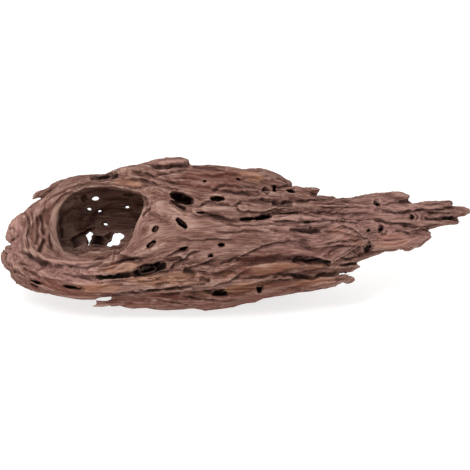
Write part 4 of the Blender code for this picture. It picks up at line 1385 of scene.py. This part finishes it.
@dataclass
class Skin:
    """The weathered skin of the whole piece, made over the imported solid. Sizes are in mm."""

    node: bpy.types.Object
    show_frame: ShowFrame = field(default_factory=ShowFrame)
    fibres: Fibres = field(default_factory=Fibres)
    face: ShowFace = field(default_factory=ShowFace)
    bare_voxel: float = 1.2
    fine_voxel: float = 0.72
    smoothing_rounds: int = 14
    step_back: float = 1.03
    most_triangles: int = 196000
    sliver_power: int = 3
    lowest_slivers: Span = (3, 9)
    rest_fade: Span = (0.2, 2.5)
    calm_hollow: float = 0.45
    calm_face: float = 0.44
    face_strength: float = 1.25
    stout: float = 7.0
    stout_start: float = 0.05
    thin_relief: float = 0.2
    look_ahead: float = 1.2
    facing: Span = (0.08, 0.4)
    evening_rounds: int = 2
    shade_rays: int = 14
    shade_reach: float = 26.0
    shade_start: float = 0.25
    shade_lean: float = 1.02
    shade_power: float = 0.7
    shade_seed: int = 12
    crest_rounds: tuple[int, int] = (4, 22)
    # Painted light on the hollow's wall: full left of the first x, gone past the second
    lit_wall: Span = (-158, -116)
    full_crack: float = 2.2

    def build(self) -> bpy.types.Object:
        """Makes the skin's mesh.

        Returns:
            The skin, linked to the scene, with the values that its finish reads.
        """
        piece = bpy.data.objects.new("driftwood_skin", self.node.data.copy())
        bpy.context.scene.collection.objects.link(piece)
        fuse(piece, self.bare_voxel)
        self.soften(piece.data)
        self.splinter(piece.data)
        fuse(piece, self.fine_voxel)
        self.bore(piece)
        drop_scraps(piece)
        self.weather(piece.data)
        self.thin_out(piece)
        self.keep_in_box(piece.data)
        self.note_surface(piece.data)
        piece.data.shade_smooth()
        LOG.info("%s: %d triangles", piece.name, len(piece.data.polygons))
        return piece

    def soften(self, mesh: bpy.types.Mesh) -> None:
        """Rounds off the flat faces of the solid, with a step back each round so that thin lips last.

        Args:
            mesh: the skin's mesh.
        """
        points, edges = mesh_values(mesh, "vertices", "co"), mesh_edges(mesh)
        for _ in range(self.smoothing_rounds):
            points = neighbour_mean(points, edges, 1)
            points -= self.step_back * (neighbour_mean(points, edges, 1) - points)
        move_points(mesh, points)

    def splinter(self, mesh: bpy.types.Mesh) -> None:
        """Lays the torn layers and loose slivers on the surface.

        Args:
            mesh: the skin's mesh.
        """
        points, normals = surface_rows(mesh)
        show = self.show_frame.to_show(points)
        keep = 1 - self.fibres.grain.log.inside_hollow(show)
        keep *= (1 - self.fibres.smoothness(show)) ** self.sliver_power
        keep *= step(points[:, 2] / MM, *self.lowest_slivers)
        splinters = Splinters(self.fibres.grain, self.show_frame)
        sliver_points, sliver_faces = splinters.build(points, normals, face_corners(mesh), keep)
        slivers = bpy.data.meshes.new("slivers")
        slivers.from_pydata(sliver_points.tolist(), [], sliver_faces)
        body = bmesh.new()
        body.from_mesh(slivers)
        bmesh.ops.recalc_face_normals(body, faces=body.faces)
        body.from_mesh(mesh)
        body.to_mesh(mesh)
        body.free()
        bpy.data.meshes.remove(slivers)

    def bore(self, piece: bpy.types.Object) -> None:
        """Cuts the worm bores.

        Args:
            piece: the skin.
        """
        tree = self.surface_tree(piece.data, mesh_values(piece.data, "vertices", "co"))
        cutter = WormBores(self.show_frame).cutter(tree)
        boolean = piece.modifiers.new("Bores", "BOOLEAN")
        boolean.operation = "DIFFERENCE"
        boolean.solver = "MANIFOLD"
        boolean.object = cutter
        apply_modifiers(piece)
        bpy.data.objects.remove(cutter)

    def surface_tree(self, mesh: bpy.types.Mesh, points: np.ndarray) -> BVHTree:
        """The surface of a mesh, ready for rays."""
        return BVHTree.FromPolygons(points.tolist(), face_corners(mesh))

    def stoutness(self, tree: BVHTree, points: np.ndarray, normals: np.ndarray) -> np.ndarray:
        """How far the wood under each point is thick enough to carry the full relief, from 0 to 1.

        Args:
            tree: the surface.
            points: its points, in metres.
            normals: their normals.

        Returns:
            The share of the relief that each point carries.
        """
        share = np.ones(len(points))
        starts = points - normals * self.stout_start * MM
        for index, (start, way) in enumerate(zip(starts.tolist(), (-normals).tolist())):
            depth = tree.ray_cast(start, way, self.stout * MM)[3]
            if depth is not None:
                share[index] = self.thin_relief + (1 - self.thin_relief) * depth / (self.stout * MM)
        return share

    def seen(
        self, mesh: bpy.types.Mesh, tree: BVHTree, points: np.ndarray, normals: np.ndarray
    ) -> np.ndarray:
        """How squarely each point faces the viewer of the show face, 0 where something hides it.

        Args:
            mesh: the skin's mesh.
            tree: its surface.
            points: its points, in metres.
            normals: their normals.

        Returns:
            A value from 0 to 1 for each point.
        """
        viewer = self.show_frame.to_viewer()
        facing = step(normals @ np.array(viewer), *self.facing)
        starts = points + normals * self.look_ahead * MM
        for index in np.flatnonzero(facing > 0):
            if tree.ray_cast(Vector(starts[index]), viewer)[0] is not None:
                facing[index] = 0
        return neighbour_mean(facing[:, None], mesh_edges(mesh), self.evening_rounds)[:, 0]

    def weather(self, mesh: bpy.types.Mesh) -> None:
        """Raises the relief of the skin along its normals, and leaves the flat that it rests on.

        Args:
            mesh: the skin's mesh.
        """
        points, normals = surface_rows(mesh)
        show = self.show_frame.to_show(points)
        in_hollow = self.fibres.grain.log.inside_hollow(show)
        tree = self.surface_tree(mesh, points)
        seen = self.seen(mesh, tree, points, normals)
        height = self.fibres.height(show) * (1 - self.calm_hollow * in_hollow)
        height *= 1 - self.calm_face * seen
        height += self.face_strength * self.face.height(show, seen, in_hollow)
        height *= step(points[:, 2] / MM, *self.rest_fade) * self.stoutness(tree, points, normals)
        move_points(mesh, points + MM * height[:, None] * normals)

    def thin_out(self, piece: bpy.types.Object) -> None:
        """Leaves the triangles that the relief needs.

        Args:
            piece: the skin.
        """
        piece.modifiers.new("Triangles", "TRIANGULATE")
        apply_modifiers(piece)
        LOG.info("%s: %d triangles before thinning", piece.name, len(piece.data.polygons))
        collapse = piece.modifiers.new("Thin", "DECIMATE")
        collapse.ratio = min(1.0, self.most_triangles / len(piece.data.polygons))
        apply_modifiers(piece)

    def keep_in_box(self, mesh: bpy.types.Mesh) -> None:
        """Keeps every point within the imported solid's own box."""
        low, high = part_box(self.node.name)
        move_points(mesh, np.clip(mesh_values(mesh, "vertices", "co"), np.array(low), np.array(high)))

    def shade(self, tree: BVHTree, points: np.ndarray, normals: np.ndarray) -> np.ndarray:
        """How open the surface is around each point, from 0 in a deep crevice to 1; the finish paints shade
        from it.

        Args:
            tree: the surface.
            points: its points, in metres.
            normals: their normals.

        Returns:
            The share of rays that get away, near ones counted less.
        """
        draw = np.random.default_rng(self.shade_seed)
        reach = self.shade_reach * MM
        open_share = np.zeros(len(points))
        starts = points + normals * self.shade_start * MM
        for _ in range(self.shade_rays):
            ways = draw.normal(size=points.shape)
            ways /= np.linalg.norm(ways, axis=1)[:, None]
            ways += normals * self.shade_lean
            ways /= np.linalg.norm(ways, axis=1)[:, None]
            for index, (start, way) in enumerate(zip(starts.tolist(), ways.tolist())):
                hit = tree.ray_cast(start, way, reach)[3]
                open_share[index] += 1.0 if hit is None else min(1.0, hit / reach) ** self.shade_power
        return open_share / self.shade_rays

    def note_surface(self, mesh: bpy.types.Mesh) -> None:
        """Writes the grain, crests, openness, stroke depth and wood zones of each point for the finish to
        read, which paints shade from openness and stroke depth and light on the hollow's left wall.

        Args:
            mesh: the skin's mesh.
        """
        points, normals = surface_rows(mesh)
        edges = mesh_edges(mesh)
        show = self.show_frame.to_show(points)
        readings, weight = self.fibres.grain.read(show)
        tree = self.surface_tree(mesh, points)
        shade = self.shade(tree, points, normals)
        in_hollow = self.fibres.grain.log.inside_hollow(show)
        relief = self.face.height(show, self.seen(mesh, tree, points, normals), in_hollow)
        zones = {
            "grain_weight": weight,
            # Openness from rays: the finish paints shade where it is low
            "openness": neighbour_mean(shade[:, None], edges, self.evening_rounds)[:, 0],
            "hollow_wall": in_hollow,
            "heartwood": HEARTWOOD.weight(show),
            "red_wood": RED_WOOD.weight(show),
            "pale_wood": PALE_WOOD.weight(show) * (1 - in_hollow),
            # Painted light on the left of the hollow's wall
            "lit_wall": in_hollow * (1 - step(show[:, 0], *self.lit_wall)),
            "worn": self.fibres.smoothness(show),
            # Depth of the sunken strokes: the finish paints shade in them
            "crack": np.clip(-relief / self.full_crack, 0, 1),
        }
        # Crests stand out from their neighbours; the finish lightens them, partly for bleached fibres and
        # partly as painted highlight
        for name, rounds in zip(("crest_fine", "crest_broad"), self.crest_rounds):
            lifted = points - neighbour_mean(points, edges, rounds)
            zones[name] = (lifted * normals).sum(axis=1) / MM
        for name, values in zones.items():
            noted = mesh.attributes.new(name, "FLOAT", "POINT")
            noted.data.foreach_set("value", values.astype(np.float32))
        for name, reading in zip(("grain_upper", "grain_lower"), readings):
            noted = mesh.attributes.new(name, "FLOAT_VECTOR", "POINT")
            noted.data.foreach_set("vector", (reading * MM).astype(np.float32).ravel())


@dataclass(frozen=True)
class Zone:
    """Soft-edged patches of wood of another colour: x, up, half x and half up in mm, and tilt."""

    patches: Rows
    front: Span = (-12, 14)
    edge: Span = (0.55, 1.1)

    def weight(self, show: np.ndarray) -> np.ndarray:
        """How fully each point lies in the zone, from 0 to 1.

        Args:
            show: points of the show frame, in mm.

        Returns:
            A value from 0 to 1 for each point.
        """
        total = np.zeros(len(show))
        for x, up, half_x, half_up, tilt in self.patches:
            turn = math.radians(tilt)
            run, rise = show[:, 0] - x, show[:, 1] - up
            along = run * math.cos(turn) + rise * math.sin(turn)
            across = rise * math.cos(turn) - run * math.sin(turn)
            total = np.maximum(total, 1 - step(np.hypot(along / half_x, across / half_up), *self.edge))
        return total * step(-show[:, 2], *self.front)


# Fresh orange-tan wood laid bare where the grey skin has split off
HEARTWOOD = Zone((
    (140, 55, 18, 10, 4), (27, 30, 14, 5, 10), (36, 33, 26, 6, 4), (-130, 15, 22, 6, -4),
    (-60, 22, 40, 6, 2), (62, 34, 22, 4, 0), (10, 14, 26, 6, 8), (100, 60, 20, 5, -22),
    (70, 19, 24, 4, 6), (-102, 32, 20, 5, 6), (14, 114, 14, 5, -8), (-96, 108, 14, 3, -6),
    (-116, 14, 14, 5, 0), (-28, 8, 9, 4, 0), (-8, 25, 8, 4, 10),
))
# Paler, greyer wood at the ends, which stood in the light
PALE_WOOD = Zone((
    (140, 74, 66, 30, 0), (70, 62, 50, 30, 0), (-198, 60, 10, 34, 0), (-150, 30, 40, 14, -10),
    (-60, 127, 22, 4, 0),
))
# Redder, darker wood in patches, most of them low on the piece
RED_WOOD = Zone((
    (-60, -2, 66, 14, 1), (30, 8, 60, 14, 10), (-150, 12, 46, 12, -8), (40, 38, 60, 14, 8),
    (-20, 110, 40, 12, 0),
))


@dataclass(frozen=True)
class Pattern:
    """A pattern drawn out along the grain: its length and width in mm, and octaves of finer detail."""

    length: float
    width: float
    detail: float


@dataclass(frozen=True)
class Stain:
    """A colour laid over the wood as far as the value of a name goes, and in patches if patchy."""

    where: str
    colour: str
    strength: float
    blend: Blend = Blend.OVER
    patchy: bool = False


# Painted shade: the darkest colour, laid deep in cracks, bores and closed-in crevices
CREVICE_SHADE = "#1C100D"


@dataclass(frozen=True)
class WeatheredWood:
    """Finish of honeycomb driftwood: bare, dead wood, worn by water and worms and never oiled.

    It looks dry and matt, grey-brown on the raised fibres, with painted dark brown shade in the cracks
    and orange-tan wood where a flake has come off. A tone adds up named values, each times its share,
    and picks the wood's colour between the painted shade of the darkest crevice and the lightest
    crest, which is partly bleached and partly painted highlight.
    """

    name: str = "driftwood_weathered_bare"
    specular: float = 0.22
    wood_tones: tuple[tuple[float, str], ...] = (
        (0.0, CREVICE_SHADE), (0.25, "#462B24"), (0.5, "#69473D"), (0.72, "#86645A"), (0.95, "#A58678"),
    )
    # Real vessel lines are about 0.2 mm wide, too fine to show, so the fibres are drawn coarser
    tone_patterns: tuple[tuple[str, Pattern], ...] = (
        ("fibres", Pattern(16.0, 0.9, 3.0)),
        ("streaks", Pattern(38.0, 2.6, 3.5)),
        ("bands", Pattern(90.0, 9.0, 2.0)),
    )
    layers: Pattern = Pattern(80.0, 8.0, 1.6)
    checks: Pattern = Pattern(60.0, 5.0, 2.0)
    check_gaps: Pattern = Pattern(30.0, 12.0, 1.0)
    mottle: Pattern = Pattern(33.0, 7.5, 3.0)
    pattern_roughness: float = 0.66
    layer_count: float = 11.0
    # Tone across a layer: a painted highlight on its lip and painted shade at its foot
    layer_tones: tuple[Span, ...] = (
        (0.0, 0.0), (0.14, 0.3), (0.5, 0.5), (0.84, 0.62), (0.95, 1.0), (1.0, 0.1),
    )
    check_reach: float = 0.022
    gap_fade: Span = (0.42, 0.56)
    mottle_fade: Span = (0.34, 0.6)
    # Painted shade where the surface is closed in: where it starts and is full over openness, its full
    # strength, and how much less of it the hollow's wall takes
    closed_fade: Span = (0.62, 0.22)
    closed_start: float = 0.8
    closed_shares: tuple[tuple[str, float], ...] = (("hollow_wall", -0.72),)
    torn_shares: tuple[tuple[str, float], ...] = (("worn", -0.65),)
    tone_start: float = -0.69
    # Openness paints shade into crevices, lips paint a highlight on each layer's edge and shade at its foot,
    # crests lighten partly as bleached fibres and partly as painted highlight, and lit_wall paints light on
    # the left of the hollow's wall
    tone_shares: tuple[tuple[str, float], ...] = (
        ("fibres", 1.0), ("streaks", 0.56), ("bands", 0.28), ("crest_fine", 0.34), ("crest_broad", 0.06),
        ("openness", 0.34), ("lips", 0.36), ("checks", -0.36), ("pale_wood", 0.15), ("lit_wall", 0.2),
        ("hollow_wall", 0.12), ("heartwood", 0.06),
    )
    stains: tuple[Stain, ...] = (
        Stain("heartwood", "#AD7A5B", 0.66, patchy=True),
        Stain("red_wood", "#6A3A2E", 0.66, patchy=True),
        Stain("pale_wood", "#8C635D", 0.5, Blend.HUE),
        Stain("hollow_wall", "#A5806F", 0.25, Blend.DARKEN),
        # Painted shade in closed-in places and in the sunken strokes
        Stain("closed", CREVICE_SHADE, 1.0),
        Stain("crack", CREVICE_SHADE, 0.55),
    )
    roughness_start: float = 0.78
    roughness_shares: tuple[tuple[str, float], ...] = (("fibres", 0.16),)
    bump_shares: tuple[tuple[str, float], ...] = (
        ("fibres", 1.0), ("streaks", 0.6), ("lips", 0.7), ("checks", -0.9),
    )
    bump_strength: float = 0.7
    bump_height: float = 0.5

    def add(self, tree: bpy.types.NodeTree, kind: str, settings: dict, links: dict) -> bpy.types.Node:
        """Adds a node with its settings and links.

        Args:
            tree: the node tree to add to.
            kind: Blender's name of the node type.
            settings: values of the node's own properties.
            links: for each input, by name or number, a value or the output that feeds it.

        Returns:
            The new node.
        """
        node = tree.nodes.new(kind)
        for name, value in settings.items():
            setattr(node, name, value)
        for name, value in links.items():
            if isinstance(value, Socket):
                tree.links.new(value, node.inputs[name])
            else:
                node.inputs[name].default_value = value
        return node

    def set_stops(self, ramp: bpy.types.Node, stops: list[tuple]) -> None:
        """Gives a colour ramp its stops.

        Args:
            ramp: the colour ramp.
            stops: a place from 0 to 1 and a linear colour for each.
        """
        elements = ramp.color_ramp.elements
        while len(elements) < len(stops):
            elements.new(0.5)
        for element, (place, colour) in zip(elements, stops):
            element.position = place
            element.color = colour

    def grained(self, tree: bpy.types.NodeTree, pattern: Pattern) -> Socket:
        """Lays a pattern along both readings of the grain and joins them.

        Args:
            tree: the material's node tree.
            pattern: the pattern.

        Returns:
            The pattern's value, from 0 to 1.
        """
        across = 1 / (pattern.width * MM)
        stretch = (1 / (pattern.length * MM), across, across)
        look = {"Scale": 1.0, "Detail": pattern.detail, "Roughness": self.pattern_roughness}
        values = []
        for name in ("grain_lower", "grain_upper"):
            place = self.add(tree, "ShaderNodeAttribute", {"attribute_name": name}, {})
            scaled = self.add(
                tree, "ShaderNodeVectorMath", {"operation": "MULTIPLY"},
                {0: place.outputs["Vector"], 1: stretch},
            )
            noise = self.add(tree, "ShaderNodeTexNoise", {}, {"Vector": scaled.outputs[0], **look})
            values.append(noise.outputs[0])
        weight = self.add(tree, "ShaderNodeAttribute", {"attribute_name": "grain_weight"}, {})
        joined = self.add(
            tree, "ShaderNodeMix", {"data_type": "FLOAT"},
            {MIX_SHARE: weight.outputs["Fac"], MIX_VALUES[0]: values[0], MIX_VALUES[1]: values[1]},
        )
        return joined.outputs[0]

    def sum_of(
        self, tree: bpy.types.NodeTree, start: float, values: dict[str, Socket],
        shares: tuple[tuple[str, float], ...],
    ) -> Socket:
        """Adds named values, each times its share, to a start.

        Args:
            tree: the material's node tree.
            start: the value to start from.
            values: the values by name.
            shares: the names to add, each with its share.

        Returns:
            The sum.
        """
        total = start
        for name, share in shares:
            total = self.add(
                tree, "ShaderNodeMath", {"operation": "MULTIPLY_ADD"}, {0: values[name], 1: share, 2: total}
            ).outputs[0]
        return total

    def lips(self, tree: bpy.types.NodeTree, torn: Socket) -> Socket:
        """Thin layers that end in a painted highlight on the lip over painted shade at the foot, as a tone
        from -0.5 to 0.5.

        Args:
            tree: the material's node tree.
            torn: how strongly the layers show at each place.

        Returns:
            What the layers add to the tone.
        """
        tone = self.grained(tree, self.layers)
        for operation, operand in (("MULTIPLY", self.layer_count), ("FRACT", 0.0)):
            worked = self.add(tree, "ShaderNodeMath", {"operation": operation}, {0: tone, 1: operand})
            tone = worked.outputs[0]
        ramp = self.add(tree, "ShaderNodeValToRGB", {}, {"Fac": tone})
        self.set_stops(ramp, [(place, (grey, grey, grey, 1)) for place, grey in self.layer_tones])
        tone = ramp.outputs["Color"]
        for operation, operand in (("SUBTRACT", 0.5), ("MULTIPLY", torn)):
            worked = self.add(tree, "ShaderNodeMath", {"operation": operation}, {0: tone, 1: operand})
            tone = worked.outputs[0]
        return tone

    def drying_checks(self, tree: bpy.types.NodeTree, torn: Socket) -> Socket:
        """Fine drying checks along the grain, from 0 to 1 in the middle of each.

        Args:
            tree: the material's node tree.
            torn: how strongly the checks show at each place.

        Returns:
            The depth of the checks.
        """
        away = self.grained(tree, self.checks)
        for operation, operand in (("SUBTRACT", 0.5), ("ABSOLUTE", 0.0)):
            worked = self.add(tree, "ShaderNodeMath", {"operation": operation}, {0: away, 1: operand})
            away = worked.outputs[0]
        depth = self.add(
            tree, "ShaderNodeMapRange", {},
            {"Value": away, "From Min": 0.0, "From Max": self.check_reach, "To Min": 1.0, "To Max": 0.0},
        ).outputs[0]
        for share in (self.faded(tree, self.check_gaps, self.gap_fade), torn):
            worked = self.add(tree, "ShaderNodeMath", {"operation": "MULTIPLY"}, {0: depth, 1: share})
            depth = worked.outputs[0]
        return depth

    def faded(self, tree: bpy.types.NodeTree, pattern: Pattern, fade: Span) -> Socket:
        """A pattern turned to patches, from 0 under the fade's start to 1 past its end.

        Args:
            tree: the material's node tree.
            pattern: the pattern.
            fade: its values where the patches start and are full.

        Returns:
            The patches, from 0 to 1.
        """
        return self.add(
            tree, "ShaderNodeMapRange", {},
            {"Value": self.grained(tree, pattern), "From Min": fade[0], "From Max": fade[1]},
        ).outputs[0]

    def wood_values(self, tree: bpy.types.NodeTree) -> dict[str, Socket]:
        """Gathers the values that the skin noted and the patterns drawn along its grain.

        Args:
            tree: the material's node tree.

        Returns:
            Each value by its name.
        """
        values = {
            name: self.add(tree, "ShaderNodeAttribute", {"attribute_name": name}, {}).outputs["Fac"]
            for name in NOTED_VALUES
        }
        for name, pattern in self.tone_patterns:
            values[name] = self.grained(tree, pattern)
        torn = self.sum_of(tree, 1.0, values, self.torn_shares)
        values["lips"] = self.lips(tree, torn)
        values["checks"] = self.drying_checks(tree, torn)
        values["patches"] = self.faded(tree, self.mottle, self.mottle_fade)
        # Painted shade: darkest where the surface is least open, less of it on the hollow's wall
        full_dark = self.sum_of(tree, self.closed_start, values, self.closed_shares)
        values["closed"] = self.add(
            tree, "ShaderNodeMapRange", {},
            {
                "Value": values["openness"], "From Min": self.closed_fade[0], "From Max": self.closed_fade[1],
                "To Min": 0.0, "To Max": full_dark,
            },
        ).outputs[0]
        return values

    def material(self) -> bpy.types.Material:
        """Makes the material.

        Returns:
            The finish, ready to put on the skin.
        """
        made = bpy.data.materials.new(self.name)
        made.use_nodes = True
        tree = made.node_tree
        surface = tree.nodes["Principled BSDF"]
        surface.inputs["Specular IOR Level"].default_value = self.specular
        values = self.wood_values(tree)
        tone = self.sum_of(tree, self.tone_start, values, self.tone_shares)
        ramp = self.add(tree, "ShaderNodeValToRGB", {}, {"Fac": tone})
        self.set_stops(ramp, [(place, linear(wood)) for place, wood in self.wood_tones])
        colour = ramp.outputs["Color"]
        for stain in self.stains:
            share = stain.strength
            for factor in (values[stain.where], values["patches"])[: 1 + stain.patchy]:
                share = self.add(
                    tree, "ShaderNodeMath", {"operation": "MULTIPLY"}, {0: factor, 1: share}
                ).outputs[0]
            colour = self.add(
                tree, "ShaderNodeMix", {"data_type": "RGBA", "blend_type": stain.blend.value},
                {MIX_SHARE: share, MIX_COLOURS[0]: colour, MIX_COLOURS[1]: linear(stain.colour)},
            ).outputs[MIXED_COLOUR]
        tree.links.new(colour, surface.inputs["Base Color"])
        roughness = self.sum_of(tree, self.roughness_start, values, self.roughness_shares)
        tree.links.new(roughness, surface.inputs["Roughness"])
        bump = self.add(
            tree, "ShaderNodeBump", {},
            {
                "Height": self.sum_of(tree, 0.0, values, self.bump_shares),
                "Strength": self.bump_strength, "Distance": self.bump_height * MM,
            },
        )
        tree.links.new(bump.outputs[0], surface.inputs["Normal"])
        return made


@dataclass
class Driftwood:
    """The driftwood: its skin, dressed in its finish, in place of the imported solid."""

    node: bpy.types.Object
    finish: WeatheredWood = field(default_factory=WeatheredWood)

    def build(self) -> bpy.types.Object:
        """Builds the skin and dresses it.

        Returns:
            The finished piece, riding on the body.
        """
        piece = Skin(self.node).build()
        piece.data.materials.clear()
        piece.data.materials.append(self.finish.material())
        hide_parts(self.node.name)
        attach(piece, "root")
        return piece


@dataclass
class Studio:
    """A plain pale floor, soft light all round, and a camera at the photograph's viewing angle."""

    show_frame: ShowFrame = field(default_factory=ShowFrame)
    aim: tuple[float, float, float] = (0.0, 61.3, 0.0)
    frame_width: float = 423.0
    lens: float = 600.0
    sensor: float = 36.0
    floor_size: float = 16.0
    floor_colour: str = "#A8A8A6"
    sky_strength: float = 0.82
    key_power: float = 24.0
    key_size: float = 0.9
    key_place: tuple[float, float, float] = (-0.75, -1.05, 1.55)
    floor_glow: float = 0.74
    floor_roughness: float = 0.9
    floor_specular: float = 0.1
    floor_drop: float = 0.0002
    view_depth: float = 4.0

    def build(self) -> None:
        """Makes the floor, the lights and the camera."""
        self.floor()
        self.sky()
        self.key_light()
        self.camera()

    def floor(self) -> None:
        """Lays the pale floor that the piece rests on."""
        mesh = bpy.data.meshes.new("floor")
        half = self.floor_size / 2
        corners = ((-half, -half), (half, -half), (half, half), (-half, half))
        mesh.from_pydata([(x, y, -self.floor_drop) for x, y in corners], [], [(0, 1, 2, 3)])
        floor = bpy.data.objects.new("floor", mesh)
        bpy.context.scene.collection.objects.link(floor)
        matt = bpy.data.materials.new("floor_matt_card")
        matt.use_nodes = True
        surface = matt.node_tree.nodes["Principled BSDF"]
        surface.inputs["Base Color"].default_value = linear(self.floor_colour)
        surface.inputs["Roughness"].default_value = self.floor_roughness
        surface.inputs["Specular IOR Level"].default_value = self.floor_specular
        surface.inputs["Emission Color"].default_value = (1, 1, 1, 1)
        surface.inputs["Emission Strength"].default_value = self.floor_glow
        mesh.materials.append(matt)

    def sky(self) -> None:
        """Lights the studio evenly from all round."""
        world = bpy.data.worlds.new("studio")
        world.use_nodes = True
        background = world.node_tree.nodes["Background"]
        background.inputs["Color"].default_value = (1, 1, 1, 1)
        background.inputs["Strength"].default_value = self.sky_strength
        bpy.context.scene.world = world

    def key_light(self) -> None:
        """Hangs one large soft light up and to the left of the viewer."""
        light = bpy.data.lights.new("key", "AREA")
        light.energy = self.key_power
        light.size = self.key_size
        lamp = bpy.data.objects.new("key", light)
        lamp.location = self.key_place
        lamp.rotation_euler = (-Vector(self.key_place)).to_track_quat("-Z", "Y").to_euler()
        bpy.context.scene.collection.objects.link(lamp)

    def camera(self) -> None:
        """Sets the camera far off with a long lens, looking straight at the show face."""
        camera = bpy.data.objects.new("camera", bpy.data.cameras.new("camera"))
        camera.data.lens = self.lens
        camera.data.sensor_width = self.sensor
        back = self.show_frame.to_viewer()
        distance = self.frame_width * MM * self.lens / self.sensor
        camera.location = self.show_frame.to_world(self.aim) + back * distance
        camera.rotation_euler = (-back).to_track_quat("-Z", "Y").to_euler()
        camera.data.clip_end = self.view_depth * distance
        bpy.context.scene.collection.objects.link(camera)
        bpy.context.scene.camera = camera
        bpy.context.scene.view_settings.view_transform = "Standard"


def main() -> None:
    """Loads the frame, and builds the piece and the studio."""
    logging.basicConfig(level=logging.INFO, format="%(message)s")
    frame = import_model()
    piece = Driftwood(frame["nodes"]["driftwood"]).build()
    LOG.info("built %s", piece.name)
    Studio().build()
    LOG.info("built the studio")


if __name__ == "__main__":
    main()
